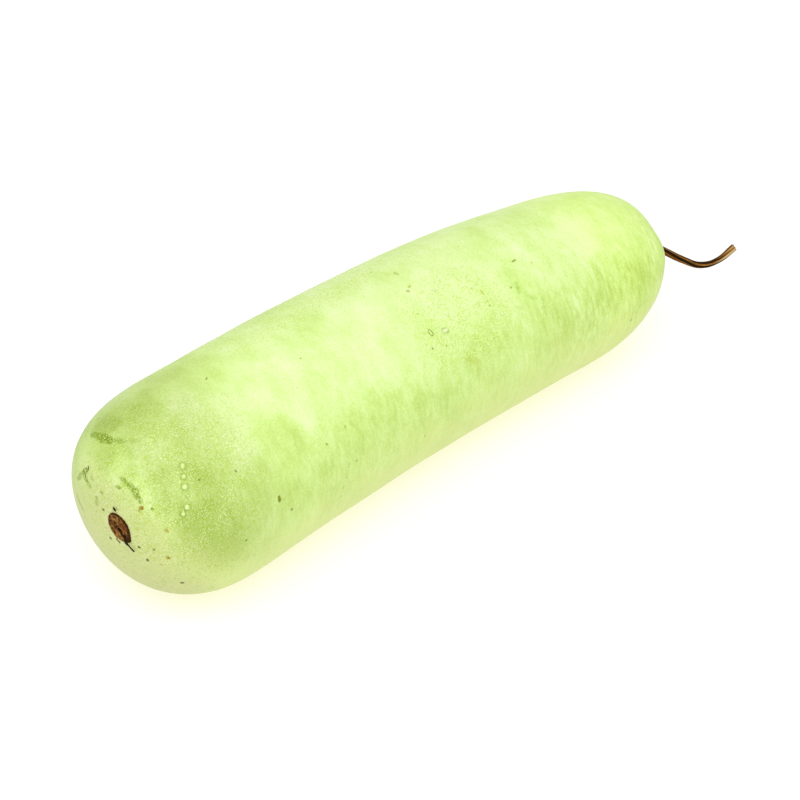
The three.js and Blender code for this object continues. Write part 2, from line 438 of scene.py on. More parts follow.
class StageSettings(bpy.types.PropertyGroup):
    """Floor, light and camera."""

    floor_size: FloatProperty(
        name="Floor size", description="Side of the floor", default=8.0, unit="LENGTH"
    )
    floor_colour: colour_property("Floor", "Floor under the sky's light", (0.16, 0.21, 0.44))
    floor_glow: colour_property("Glow", "Warm light through the floor", (0.86, 0.80, 0.50))
    sky: FloatProperty(name="Sky", description="Strength of the even light", default=1.0)
    key: FloatProperty(name="Key", description="Power of the soft light", default=32.0, unit="POWER")
    azimuth: FloatProperty(
        name="Azimuth", description="Way the camera looks", default=math.radians(-46), subtype="ANGLE"
    )
    elevation: FloatProperty(
        name="Elevation", description="Height of the camera", default=math.radians(34), subtype="ANGLE"
    )
    distance: FloatProperty(
        name="Distance", description="From the camera to the gourd", default=1.04207, unit="LENGTH"
    )
    lens: FloatProperty(
        name="Lens", description="Focal length in millimetres", default=103.5, unit="CAMERA"
    )


class GourdSettings(bpy.types.PropertyGroup):
    """All that a user can change."""

    fruit: PointerProperty(type=FruitSettings)
    stem: PointerProperty(type=StemSettings)
    scar: PointerProperty(type=ScarSettings)
    water: PointerProperty(type=WaterSettings)
    stage: PointerProperty(type=StageSettings)


def through(values, share):
    """The height at a share of the way along a smooth curve through evenly spaced values."""
    spans = len(values) - 1
    place = min(max(share, 0), 1) * spans
    index = min(int(place), spans - 1)
    part = place - index
    a = values[index]
    b = values[index + 1]
    before = values[index - 1] if index > 0 else 2 * a - b
    after = values[index + 2] if index + 2 <= spans else 2 * b - a
    bend = 2 * before - 5 * a + 4 * b - after
    twist = after - before + 3 * (a - b)
    return 0.5 * (2 * a + (b - before) * part + bend * part**2 + twist * part**3)


def ring_at(along):
    """Centre and half width of the ring at a distance from the blossom end, in metres."""
    share = along / FRUIT_LENGTH
    half_width = through(HALF_WIDTHS, share)
    cap, into = BLOSSOM_CAP, 1 - along / BLOSSOM_CAP["length"]
    if along > FRUIT_LENGTH / 2:
        cap, into = STEM_CAP, 1 - (FRUIT_LENGTH - along) / STEM_CAP["length"]
    into = max(into, 0)
    girth = max(1 - into ** cap["power"], 0) ** (1 / cap["power"])
    aside = through(SIDE_BEND, share) + cap["drift"][0] * into**2
    up = half_width * HEIGHT_TO_WIDTH - REST_DEPTH + cap["drift"][1] * into**2
    centre = millimetres((along - FRUIT_LENGTH / 2, aside, up))
    return centre, (half_width + ROUNDING_LOSS) * girth * MM


def along_cap(cap, girth):
    """Distance from the pole at which a cap has reached a share of its full girth."""
    return cap["length"] * (1 - (1 - girth ** cap["power"]) ** (1 / cap["power"]))


def ring_places(settings):
    """Distances along the fruit at which a ring is made, closer together on the caps."""
    first_girth = 0.1
    least_growth = 1.5
    crowding = 0.75
    girths = [first_girth]
    for index in range(1, settings.cap_rings + 1):
        quarter = index / settings.cap_rings * math.pi / 2
        girth = math.sin(quarter) ** crowding
        if girth > first_girth * least_growth:
            girths.append(girth)
    near = [along_cap(BLOSSOM_CAP, girth) for girth in girths]
    far = [FRUIT_LENGTH - along_cap(STEM_CAP, girth) for girth in reversed(girths)]
    start, end = near[-1], far[0]
    steps = settings.body_rings
    body = [start + (end - start) * index / steps for index in range(1, steps)]
    return near + body + far


class GOURD_OT_fruit(bpy.types.Operator):
    """Model the fruit as one lofted skin, from the blossom end to the stem end"""

    bl_idname = "gourd.fruit"
    bl_label = "Add fruit"
    bl_options = {"REGISTER", "UNDO"}

    # Widths of the broad and the fine unevenness, and a corner to order the mesh by, in millimetres
    SWELL_WIDTH = 34
    GRAIN_WIDTH = 6
    ORDER_CORNER = (-311, 83, 37)

    def execute(self, context):
        settings = context.scene.gourd.fruit
        places = ring_places(settings)
        skin = self.loft(settings, places)
        self.close_ends(skin, settings.sides)
        subdivide(skin, 2)
        roughen(skin, self.SWELL_WIDTH, settings.swell / MM)
        roughen(skin, self.GRAIN_WIDTH, settings.grain / MM)
        for dish in (SCAR_DISH, STEM_DISH, STEM_HOLLOW, STEM_KNOB, SCAR_SOCKET):
            shift = (dish["shift"] * MM, 0, 0)
            press(skin, millimetres(dish["centre"]), shift, dish["reach"] * MM)
        self.flatten_underside(skin)
        shade_smooth(skin)
        dress(skin, "gourd_skin", skin_material(settings), "fruit")
        return {"FINISHED"}

    def loft(self, settings, places):
        """Extrudes a ring of edges from place to place, scaling it at each."""
        centre, half_width = ring_at(places[0])
        start_piece()
        bpy.ops.mesh.primitive_circle_add(
            vertices=settings.sides,
            radius=half_width,
            fill_type="NOTHING",
            location=centre,
            rotation=(0, math.pi / 2, 0),
        )
        skin = bpy.context.object
        freeze()
        bpy.ops.object.mode_set(mode="EDIT")
        bpy.ops.mesh.select_all(action="SELECT")
        bpy.ops.transform.resize(value=(1, 1, HEIGHT_TO_WIDTH), center_override=centre)
        for place in places[1:]:
            next_centre, next_half_width = ring_at(place)
            growth = next_half_width / half_width
            bpy.ops.mesh.extrude_region_move(
                TRANSFORM_OT_translate={"value": next_centre - centre}
            )
            bpy.ops.transform.resize(value=(1, growth, growth), center_override=next_centre)
            centre, half_width = next_centre, next_half_width
        return skin

    def close_ends(self, skin, sides):
        """Fills the small ring at each pole with a grid of faces."""
        bpy.ops.object.mode_set(mode="OBJECT")
        lowest = min(vertex.co.x for vertex in skin.data.vertices)
        highest = max(vertex.co.x for vertex in skin.data.vertices)
        for end in (lowest, highest):
            select_where(skin, lambda co: abs(co.x - end) < RING_PLANE * MM)
            bpy.ops.mesh.fill_grid(span=sides // 4)
        bpy.ops.mesh.select_all(action="SELECT")
        bpy.ops.mesh.normals_make_consistent(inside=False)
        settle_order(self.ORDER_CORNER)
        bpy.ops.object.mode_set(mode="OBJECT")

    def flatten_underside(self, skin):
        """Presses the lowest strip flat where the fruit bears on the floor."""
        select_where(skin, lambda co: co.z < 0)
        bpy.ops.transform.resize(value=(1, 1, 0), center_override=(0, 0, 0))
        bpy.ops.object.mode_set(mode="OBJECT")


def dot(place, reach, colour, strength):
    """A round mark on the skin, with both of its ends in one place."""
    return place, place, reach, colour, strength


# Marks on the skin: two ends in millimetres, half thickness, colour and strength
BLACK_GREEN = (0.07, 0.072, 0.0)
OLIVE = (0.17, 0.21, 0.006)
OCHRE = (0.36, 0.41, 0.035)
RUST = (0.27, 0.19, 0.004)
RED_BROWN = (0.10, 0.05, 0.005)
GREEN = (0.31, 0.50, 0.07)
SPECKS = (
    dot((-171.9, 1.7, 55.3), 1.15, BLACK_GREEN, 0.98),
    dot((-171.8, -1.5, 42.0), 1.1, BLACK_GREEN, 0.9),
    dot((-171.8, -5.6, 43.6), 1.1, BLACK_GREEN, 0.95),
    ((-171.7, -7.3, 42.6), (-171.7, -6.5, 42.9), 1.05, BLACK_GREEN, 0.8),
    dot((-170.5, -18.6, 45.6), 1.1, BLACK_GREEN, 0.95),
    dot((-169.1, -21.9, 40.1), 1.05, BLACK_GREEN, 0.9),
    ((-168.3, -25.8, 47.1), (-168.3, -25.4, 47.1), 0.85, BLACK_GREEN, 0.75),
    ((-171.9, -6.2, 39.8), (-171.9, -7.0, 39.2), 0.8, RED_BROWN, 0.35),
    dot((-148.9, -34.0, 76.6), 0.75, BLACK_GREEN, 0.55),
    ((-166.7, -24.0, 66.4), (-166.5, -24.6, 66.0), 0.9, OLIVE, 0.8),
    dot((-133.2, -38.7, 75.1), 0.85, BLACK_GREEN, 0.65),
    dot((-137.3, -48.3, 46.9), 0.8, BLACK_GREEN, 0.65),
    ((-114.9, -1.5, 93.8), (-112.7, 0.2, 93.8), 0.6, OLIVE, 0.8),
    ((-72.3, -14.0, 90.0), (-70.9, -13.4, 90.1), 0.6, OLIVE, 0.75),
    ((52.3, -28.4, 77.2), (53.5, -27.8, 77.6), 0.7, OLIVE, 0.6),
    ((-160.0, -31.6, 28.2), (-159.4, -32.1, 28.2), 1.1, RED_BROWN, 0.85),
    ((-165.5, -31.0, 43.9), (-165.5, -31.1, 44.3), 1.25, RUST, 0.9),
    ((-168.9, -19.0, 64.9), (-168.2, -20.3, 66.1), 1.05, RUST, 0.9),
    ((-168.6, -20.0, 65.3), (-168.4, -20.6, 65.3), 0.6, RED_BROWN, 0.6),
    ((-169.3, -18.9, 63.6), (-169.2, -18.9, 64.2), 0.9, RUST, 0.7),
    ((-165.4, -30.5, 58.1), (-165.0, -31.2, 57.7), 1.1, RUST, 0.6),
    ((-166.8, -27.3, 39.6), (-166.4, -28.1, 39.3), 1.0, RUST, 0.3),
    ((-169.0, 13.1, 68.3), (-168.5, 13.7, 70.3), 0.7, RED_BROWN, 0.95),
    ((0.0, 14.4, 90.7), (0.3, 14.4, 90.7), 0.7, BLACK_GREEN, 0.6),
    ((0.4, -7.8, 89.7), (1.6, -8.0, 89.6), 1.2, RUST, 0.6),
    ((2.4, -6.6, 90.0), (5.2, -5.7, 90.1), 0.9, OCHRE, 0.8),
    ((4.4, -7.8, 89.6), (5.9, -8.2, 89.4), 0.5, OCHRE, 0.7),
    ((6.4, 6.1, 91.4), (6.4, 3.2, 91.3), 1.3, OLIVE, 0.35),
    ((-5.0, -19.1, 85.1), (-4.3, -19.5, 84.9), 0.7, OLIVE, 0.75),
    ((-2.9, -20.1, 84.4), (-2.9, -21.2, 83.7), 0.7, OLIVE, 0.75),
    ((2.8, -18.0, 85.5), (2.8, -19.0, 84.9), 0.7, OCHRE, 0.7),
    ((1.4, -19.8, 84.5), (2.1, -25.8, 80.3), 0.35, OLIVE, 0.6),
    ((-2.9, -24.5, 81.4), (0.7, -24.5, 81.3), 0.6, OLIVE, 0.8),
    ((-5.7, -28.6, 78.0), (-5.0, -31.6, 74.8), 0.45, OLIVE, 0.8),
    ((-2.9, -30.3, 76.2), (-2.2, -32.1, 74.1), 0.45, OCHRE, 0.8),
    ((-0.7, -32.9, 73.1), (-0.7, -33.4, 72.5), 0.8, OLIVE, 0.7),
    ((-8.6, -31.7, 74.8), (-8.6, -32.3, 74.2), 0.85, OLIVE, 0.8),
    ((-11.5, -29.5, 77.4), (-10.0, -31.0, 75.8), 0.5, OLIVE, 0.5),
    ((-0.4, -30.2, 76.0), (0.8, -30.8, 75.2), 0.5, OCHRE, 0.6),
    ((30.0, -19.9, 83.9), (30.0, -20.5, 83.6), 0.8, OCHRE, 0.7),
    ((32.9, -27.0, 78.8), (32.9, -27.4, 78.5), 0.8, OCHRE, 0.65),
    ((32.9, -28.7, 77.3), (32.9, -29.1, 76.9), 0.8, OLIVE, 0.55),
    ((33.6, -22.1, 82.5), (33.6, -24.7, 80.7), 0.8, OCHRE, 0.7),
    ((27.6, -25.6, 80.2), (28.0, -27.6, 78.6), 0.8, OCHRE, 0.35),
    ((54.2, -25.6, 79.5), (52.0, -30.2, 75.6), 1.5, GREEN, 0.55),
    ((49.4, -26.9, 78.7), (50.1, -26.9, 78.6), 0.8, OLIVE, 0.6),
    ((60.1, -18.1, 84.2), (63.0, -17.8, 84.2), 0.6, OLIVE, 0.8),
    ((69.4, -21.8, 81.5), (69.9, -22.1, 81.3), 0.8, OCHRE, 0.5),
    ((55.1, -31.6, 73.8), (60.4, -33.9, 70.9), 1.2, GREEN, 0.35),
    ((45.8, -32.9, 72.4), (50.2, -34.4, 70.3), 1.2, GREEN, 0.3),
    ((7.6, -38.3, 64.3), (14.6, -40.2, 60.1), 2.0, OCHRE, 0.3),
    ((-69.4, -44.8, 50.8), (-69.0, -44.8, 50.8), 0.8, OLIVE, 0.6),
    ((-110.9, -48.0, 48.3), (-110.9, -48.0, 48.6), 0.8, BLACK_GREEN, 0.8),
    ((-117.3, -47.4, 55.6), (-117.1, -47.2, 58.4), 1.15, OLIVE, 0.98),
    ((-84.4, -41.7, 65.9), (-83.6, -42.0, 65.0), 0.7, OLIVE, 0.6),
    ((-71.6, -40.2, 67.2), (-71.2, -40.2, 67.6), 0.7, OLIVE, 0.5),
    dot((-24.3, -43.1, 40.5), 0.75, OLIVE, 0.55),
    ((45.1, 2.2, 90.0), (45.8, 2.6, 90.0), 0.7, OLIVE, 0.5),
    dot((-95.2, -36.8, 18.1), 0.8, OLIVE, 0.5),
    dot((-83.7, -23.7, 85.6), 0.7, OLIVE, 0.45),
    dot((120.9, -42.9, 36.0), 0.9, OLIVE, 0.6),
    ((85.9, -39.0, 60.7), (95.9, -39.7, 59.4), 0.6, OCHRE, 0.75),
    ((-73.7, -44.9, 52.4), (-74.6, -45.2, 49.6), 0.45, OLIVE, 0.4),
    ((-76.1, -45.4, 46.6), (-76.6, -45.4, 45.2), 0.5, OLIVE, 0.4),
    ((-77.6, -45.3, 42.6), (-78.3, -45.0, 40.2), 0.5, OLIVE, 0.45),
    ((-78.9, -44.6, 37.6), (-79.3, -44.3, 35.8), 0.5, OLIVE, 0.4),
    ((-79.7, -43.4, 32.8), (-79.6, -42.2, 29.2), 0.45, OLIVE, 0.35),
)

# Olive rings on the skin: two ends in millimetres, half thickness and strength. The last two lie
# round large drops and are painted shade at their rims
OUTLINES = (
    ((-5.0, -26.4, 79.9), (-5.0, -28.6, 78.0), 1.5, 0.95),
    ((1.4, -28.2, 78.1), (4.3, -29.7, 76.7), 1.6, 0.55),
    ((12.2, -13.5, 87.3), (12.4, -13.5, 87.3), 1.2, 0.3),
)

# Scuffed stretches: two ends and reach in millimetres, and strength
SCUFFS = (
    ((-160.0, 21.1, 78.3), (-161.1, 13.6, 81.3), 2.0, 0.7),
    ((-160.8, 15.5, 80.6), (-161.6, 6.3, 83.0), 2.8, 0.95),
    ((-161.4, 10.2, 82.2), (-161.7, 5.2, 83.2), 2.6, 1.0),
    ((-161.1, 4.8, 83.7), (-159.5, -1.8, 85.5), 1.7, 0.6),
    ((-159.5, -1.8, 85.5), (-156.5, -7.8, 87.0), 1.5, 0.35),
    ((-159.2, 21.3, 79.0), (-154.9, 7.3, 87.5), 6.5, 0.3),
    ((-168.8, 21.9, 58.8), (-168.9, 17.2, 65.5), 1.6, 0.7),
    ((-168.9, 17.2, 65.5), (-169.1, 13.2, 68.4), 1.8, 1.0),
    ((-169.0, 16.6, 65.5), (-170.3, 13.1, 63.6), 2.4, 1.0),
    ((-170.3, 13.1, 63.6), (-171.0, 10.3, 61.5), 1.7, 0.75),
    ((-169.7, 11.1, 67.6), (-170.5, 8.6, 65.8), 1.4, 0.5),
    ((-171.5, 6.0, 60.0), (-171.8, 6.1, 54.9), 1.6, 0.65),
    ((-171.3, 3.4, 63.2), (-171.4, 1.5, 63.1), 1.3, 0.65),
    ((-168.0, -6.7, 74.4), (-168.0, -11.7, 72.8), 1.6, 0.7),
    ((-168.0, -11.7, 72.8), (-167.7, -14.9, 71.9), 2.0, 0.75),
    ((-167.7, -14.9, 71.9), (-168.0, -16.7, 69.8), 2.6, 0.85),
    ((-168.0, -16.7, 69.8), (-168.0, -19.3, 67.6), 1.9, 0.8),
    ((-169.8, -5.9, 69.8), (-169.5, -8.4, 70.2), 1.3, 0.8),
    ((-168.8, 23.6, 51.2), (-170.7, 16.6, 45.7), 1.8, 0.45),
)

# Large drops: place, width and length down the slope in millimetres, and how dark the painted
# shade round their foot is
LARGE_DROPS = (
    ((-151.5, -27.2, 81.5), 2.2, 3.2, 0.55),
    ((-153.3, -29.7, 78.4), 2.2, 2.6, 0.55),
    ((-154.9, -31.8, 75.1), 2.9, 3.1, 0.55),
    ((-155.3, -34.1, 72.0), 1.2, 1.4, 0.55),
    ((-157.2, -35.3, 68.0), 2.6, 3.0, 0.55),
    ((-159.2, -35.0, 65.4), 2.1, 2.3, 0.55),
    ((-162.1, -33.4, 62.3), 1.3, 1.4, 0.55),
    ((-163.1, -30.2, 66.2), 1.1, 1.3, 0.55),
    ((-166.9, 5.2, 72.6), 1.2, 1.2, 0.55),
    ((-167.6, 1.4, 72.0), 1.1, 1.1, 0.55),
    ((7.9, -20.1, 84.1), 1.7, 1.8, 0.2),
    ((8.6, -24.8, 80.9), 1.6, 1.6, 0.2),
    ((2.8, -29.1, 77.3), 4.0, 2.2, 0.2),
    ((37.2, -32.9, 72.7), 1.6, 2.0, 0.2),
    ((32.9, -33.1, 72.5), 1.5, 1.6, 0.2),
    ((12.2, -13.5, 87.3), 1.8, 1.5, 0.2),
    ((17.2, -28.8, 77.3), 1.1, 1.2, 0.2),
)


def mark_mask(weave, place, first, second, reach, softness=0.5):
    """One inside a thin oval round two points, and nothing away from it."""
    span = (millimetres(first) - millimetres(second)).length
    total = weave.total(weave.distance(place, first), weave.distance(place, second))
    edge = math.hypot(span, 2 * reach * MM)
    return weave.fade(total, edge, span + (edge - span) * (1 - softness))


# Broad patches of the skin: centre and reach in millimetres, paler above nought and greener below
PATCHES = (
    ((-27, -9, 90), 30, 0.22),
    ((-50, -10, 91), 24, 0.14),
    ((-82, -16, 90), 20, 0.24),
    ((-107, -15, 91), 18, 0.24),
    ((-88, -31, 80), 18, 0.26),
    ((-119, -33, 81), 12, 0.18),
    ((-45, -30, 78), 18, 0.20),
    ((-21, -30, 77), 18, 0.16),
    ((16, -14, 87), 26, 0.16),
    ((42, -17, 86), 22, 0.14),
    ((69, -15, 85), 18, 0.12),
    ((102, -20, 80), 26, 0.24),
    ((134, -16, 79), 22, 0.16),
    ((-157, -14, 85), 12, 0.20),
    ((-52, 0, 92), 15, -0.26),
    ((-110, -4, 93), 18, -0.20),
    ((62, 3, 89), 20, -0.14),
    ((91, -5, 86), 14, -0.14),
    ((55, -28, 78), 14, -0.16),
    ((-2, -25, 81), 12, -0.14),
    ((32, -36, 68), 20, -0.08),
    ((15, -40, 61), 16, -0.05),
    ((68, -40, 59), 20, -0.20),
    ((99, -41, 56), 20, -0.14),
    ((129, -40, 56), 20, -0.15),
    ((147, -35, 58), 16, -0.06),
    ((-26, -41, 59), 18, -0.16),
    ((-52, -41, 62), 18, -0.12),
    ((-67, -43, 58), 16, -0.08),
    ((-111, -45, 63), 18, -0.18),
    ((-133, -41, 72), 18, -0.24),
    ((-145, -33, 79), 16, -0.22),
    ((-156, -39, 62), 14, -0.50),
    ((-141, -48, 49), 18, -0.24),
    ((-147, -12, 90), 16, -0.20),
    ((-146, 8, 91), 26, -0.46),
    ((-160, 15, 82), 16, -0.50),
    ((-110, 26, 89), 34, -0.42),
    ((-60, 32, 85), 28, -0.24),
    ((-102, -37, 76), 16, -0.34),
    ((-129, -40, 73), 13, 0.32),
    ((-124, 13, 93), 20, -0.22),
    ((-150, -42, 55), 16, -0.22),
    ((-152, 34, 72), 20, -0.30),
    ((-163, 0, 82), 13, -0.42),
    ((-154, -31, 77), 15, -0.30),
    ((-152, -44, 44), 17, -0.28),
    ((-143, -43, 66), 14, -0.24),
    ((-135, 14, 91), 13, 0.24),
    ((-139, -7, 93), 17, 0.24),
    ((147, -33, 61), 15, 0.26),
    ((-84, -16, 89), 16, -0.12),
    ((-84, -28, 83), 12, -0.14),
    ((-167, 2, 77), 12, -0.34),
    ((-167, -13, 75), 10, -0.32),
    ((-152, -22, 84), 12, -0.26),
    ((148, -35, 57), 11, 0.24),
    ((122, -33, 69), 13, 0.20),
    ((-153, -43, 45), 12, -0.14),
)


# Ragged edges: how fine the noise is that moves them, and how far, in millimetres
TONE_STIR = (60, 26)
ZONE_STIR = (45, 24)
HALO_STIR = (260, 3)
DEW_STIR = (900, 0.5)
SCUFF_STIR = (420, 1.8)
SPECK_STIR = (900, 0.7)

# Zones of the skin: two distances in millimetres along, across or up, or from the scar, and the
# share at each
PALE_TOP = (50, 84, 0.34, 0.56)
COMBED_LOW = (84, 60, 0.25, 0.8)
COMBED_FAR = (40, 100, 1.0, 1.8)
# Painted shade: the shoulder of the blossom end is darkened between these limits
SHOULDER_START = (-170, -156)
SHOULDER_END = (-146, -104, 1, 0)
SHOULDER_TOP = (20, 50, 0.5, 1)
FRESH_END = (84, 128, 0, 0.6)
# Painted bounce light from the floor, strongest low down
FLOOR_BOUNCE = (60, 16, 0, 0.8)
NOSE = (-126, -152, 0, 0.85)
NOSE_SLANT = 0.45
HALO = (10.5, 6, 0, 0.4)
BACK = (8, 20)
UNDERSIDE = (12, 5)

# Cloud noises of the skin, and how much each one changes how pale it is
CLOUDS = {"scale": 80, "detail": 6, "roughness": 0.62}
CLOUD_STRETCH = (1, 0.7, 0.7)
CLOUD_SWING = 0.95
STROKES = {"scale": 460, "detail": 3, "roughness": 0.6, "distortion": 0.2}
STROKE_STRETCH = (1, 0.3, 0.3)
MOTTLE = {"scale": 1100, "detail": 2, "roughness": 0.55}
MOTTLE_SWING = 0.6
PORES = {"scale": 1400, "detail": 2, "roughness": 0.6}

# Where the deep, the fresh and the pale green lie between greenest and palest
TONE_PLACES = (0.0, 0.42, 0.85)

# Colours that parts of the skin are mixed with or multiplied by
# Painted shade, multiplied onto the shoulder of the blossom end
SHOULDER_PAINTED_SHADE = (0.81, 0.795, 0.74)
FRESH_SHADE = (1.02, 1.05, 0.70)
HALO_COLOUR = (0.66, 0.63, 0.33)
# Painted shade in the gaps between dew beads, and painted highlights on the beads
DEW_PAINTED_SHADE = (0.78, 0.84, 0.32)
DEW_PAINTED_HIGHLIGHT = (0.78, 0.86, 0.54)
# Painted shade round the foot of each large drop
DROP_PAINTED_SHADE = (0.62, 0.70, 0.26)


def skin_tone(weave, place):
    """How pale the skin is: near 0 where it is greenest and near 1 where it is palest."""
    stirred = weave.stir(place, *TONE_STIR)
    along, _, height = weave.axes(stirred)
    parts = [weave.over(height, *PALE_TOP)]
    for centre, reach, strength in PATCHES:
        parts.append(weave.over(weave.distance(stirred, centre), reach, 0, 0, strength))
    clouds = weave.noise(weave.stretch(place, CLOUD_STRETCH), **CLOUDS)
    parts.append(weave.swing(clouds, CLOUD_SWING))
    strokes = weave.noise(weave.stretch(place, STROKE_STRETCH), **STROKES)
    combed = weave.product(weave.over(height, *COMBED_LOW), weave.over(along, *COMBED_FAR))
    parts.append(weave.swing(strokes, combed))
    parts.append(weave.swing(weave.noise(place, **MOTTLE), MOTTLE_SWING))
    return weave.total(*parts), strokes


def skin_colour(weave, place, settings):
    """Clouded and softly streaked greens, with painted shade on the blossom end's shoulder, greyer at
    the nose, and painted bounce light from the floor low down.
    """
    tone, strokes = skin_tone(weave, place)
    colour = weave.ramp(tone, TONE_PLACES, (settings.deep, settings.fresh, settings.pale))
    along, _, height = weave.axes(weave.stir(place, *ZONE_STIR))
    # Painted shade on the shoulder of the blossom end
    shoulder = weave.product(
        weave.over(along, *SHOULDER_START),
        weave.over(along, *SHOULDER_END),
        weave.over(height, *SHOULDER_TOP),
    )
    colour = weave.mix(shoulder, colour, SHOULDER_PAINTED_SHADE, "MULTIPLY")
    colour = weave.mix(weave.over(along, *FRESH_END), colour, FRESH_SHADE, "MULTIPLY")
    # Painted bounce light from the floor, mixed into the skin low down
    colour = weave.mix(weave.over(height, *FLOOR_BOUNCE), colour, settings.floor_bounce)
    slanted = weave.maths("MULTIPLY_ADD", height, NOSE_SLANT, along)
    colour = weave.mix(weave.over(slanted, *NOSE), colour, settings.blossom_end)
    from_scar = weave.distance(weave.stir(place, *HALO_STIR), SCAR_CENTRE)
    return weave.mix(weave.over(from_scar, *HALO), colour, HALO_COLOUR), strokes


# Misted stretches: name, centre and reach in millimetres, how much longer than wide they are,
# the size of their drops beside the usual one, and how strongly the dew shows between the drops
MISTED = (
    ("mist_near_end", (-156, -22, 70), 58, 1.0, 1.0, 0.95),
    ("mist_middle", (16, -26, 80), 36, 1.3, 0.85, 1.0),
    ("mist_top", (-48, 22, 88), 32, 3.2, 0.75, 0.8),
)
# The share of a stretch's reach within which it is misted in full
FULL_MIST = 0.4

# Dew, painted into the skin's colour as tiny water drops: light beads that are painted highlights,
# with darker gaps round them that are painted shade. Its share outside the misted stretches, the
# noise and limits of its patches, how fine its beads are, the noise that varies them, the limits
# of beads and gaps, and how strongly both show
DRY_SHARE = 0.25
DEW_NOISE = {"scale": 150, "detail": 3, "roughness": 0.6}
DEW_PATCHES = (0.36, 0.62, 0.35, 1.0)
BEAD_FINENESS = 1250
BEAD_NOISE = {"scale": 800, "detail": 2, "roughness": 0.6}
BEAD_SIZE = -0.5
BEADS = (0.2, -0.1)
BEAD_STRENGTH = 0.34
GAPS = (0.45, 0.75)
GAP_STRENGTH = 0.75

# Marks: how soft their edges are, how scuffs tear, how much of a ring is hole, and the
# limits of the painted shade round a large drop as shares of its length
SCUFF_SOFTNESS = 0.8
SPECK_SOFTNESS = 0.6
RING_SOFTNESS = 0.45
RING_HOLE = 0.66
TORN_NOISE = {"scale": 1100, "detail": 3, "roughness": 0.6}
TORN = (0.40, 0.52)
LEAST_TORN = 0.16
DROP_FOOT = (0.85, 0.45)

# Hidden specks of the back and the underside: how fine their grid is, their limits and strength
HIDDEN_FINENESS = 130
HIDDEN_EDGE = (0.085, 0.045)
HIDDEN_STRENGTH = 0.65


def mist_share(weave, place, centre, reach, longer):
    """One in the middle of a misted stretch, fading to nothing at its edge."""
    from_centre = weave.vector("SUBTRACT", place, millimetres(centre)).outputs[0]
    evened = weave.vector("MULTIPLY", from_centre, (1 / longer, 1, 1)).outputs[0]
    away = weave.vector("LENGTH", evened).outputs["Value"]
    return weave.over(away, reach, FULL_MIST * reach)


def dew(weave, place, colour):
    """Fine beads of dew where the skin is misted: painted highlights in their middles and painted shade
    in the gaps round them.
    """
    share = DRY_SHARE
    for _, centre, reach, longer, _, strength in MISTED:
        here = weave.product(mist_share(weave, place, centre, reach, longer), strength)
        share = weave.maths("MAXIMUM", share, here)
    share = weave.product(share, weave.fade(weave.noise(place, **DEW_NOISE), *DEW_PATCHES))
    sockets = {"Vector": weave.stir(place, *DEW_STIR), "Scale": BEAD_FINENESS}
    away = weave.node("ShaderNodeTexVoronoi", sockets).outputs["Distance"]
    size = weave.noise(place, **BEAD_NOISE)
    beads = weave.fade(weave.maths("MULTIPLY_ADD", size, BEAD_SIZE, away), *BEADS)
    gaps = weave.product(weave.fade(away, *GAPS), share, GAP_STRENGTH)
    # Painted shade in the gaps between the beads
    colour = weave.mix(gaps, colour, DEW_PAINTED_SHADE, "MULTIPLY")
    # Painted highlights in the middles of the beads
    light = weave.product(beads, share, BEAD_STRENGTH)
    return weave.mix(light, colour, DEW_PAINTED_HIGHLIGHT), weave.product(beads, share)


def skin_marks(weave, place, colour, settings):
    """Specks, scuffs and olive rings laid over the skin's colour, with painted shade round the large
    drops.
    """
    ragged = weave.stir(place, *SCUFF_STIR)
    rough = weave.stir(place, *SPECK_STIR)
    torn = weave.fade(weave.noise(place, **TORN_NOISE), *TORN)
    torn = weave.maths("MAXIMUM", torn, LEAST_TORN)
    for first, second, reach, strength in SCUFFS:
        oval = mark_mask(weave, ragged, first, second, reach, SCUFF_SOFTNESS)
        colour = weave.mix(weave.product(oval, torn, strength), colour, settings.scuff)
    # Painted shade round the foot of each large drop
    for spot, _, length, shade in LARGE_DROPS:
        low, high = (share * length for share in DROP_FOOT)
        foot = weave.over(weave.distance(place, spot), low, high, 0, shade)
        colour = weave.mix(foot, colour, DROP_PAINTED_SHADE, "MULTIPLY")
    for first, second, reach, paint, strength in SPECKS:
        mask = mark_mask(weave, rough, first, second, reach, SPECK_SOFTNESS)
        colour = weave.mix(weave.product(mask, strength), colour, paint)
    # Olive rings; those round large drops are painted shade at the drops' rims
    for first, second, reach, strength in OUTLINES:
        outer = mark_mask(weave, rough, first, second, reach, RING_SOFTNESS)
        inner = mark_mask(weave, rough, first, second, reach * RING_HOLE, RING_SOFTNESS)
        band = weave.product(weave.maths("SUBTRACT", outer, inner), strength)
        colour = weave.mix(band, colour, OLIVE)
    return weave.mix(hidden_specks(weave, place), colour, OLIVE)


def hidden_specks(weave, place):
    """Scattered small specks for the back and the underside."""
    cells = weave.node("ShaderNodeTexVoronoi", {"Vector": place, "Scale": HIDDEN_FINENESS})
    specks = weave.fade(cells.outputs["Distance"], *HIDDEN_EDGE)
    _, across, up = weave.axes(place)
    hidden = weave.maths("MAXIMUM", weave.over(across, *BACK), weave.over(up, *UNDERSIDE))
    return weave.product(specks, hidden, HIDDEN_STRENGTH)


def skin_material(settings):
    """Satin green skin with streaks, clouds, specks and scuffs."""
    material, shader, weave = new_material(
        "gourd_skin",
        Roughness=0.45,
        Specular_IOR_Level=0.15,
        Subsurface_Weight=0.08,
        Subsurface_Radius=(1, 0.9, 0.3),
        Subsurface_Scale=2 * MM,
    )
    stroke_height, bead_height = 0.5, 2
    place = weave.own_place()
    colour, strokes = skin_colour(weave, place, settings)
    colour, beads = dew(weave, place, colour)
    weave.paint(shader, skin_marks(weave, place, colour, settings))
    height = weave.total(
        weave.noise(place, **PORES),
        weave.product(strokes, stroke_height),
        weave.product(beads, bead_height),
    )
    weave.bump(shader, height, strength=0.35, depth=0.06)
    return material


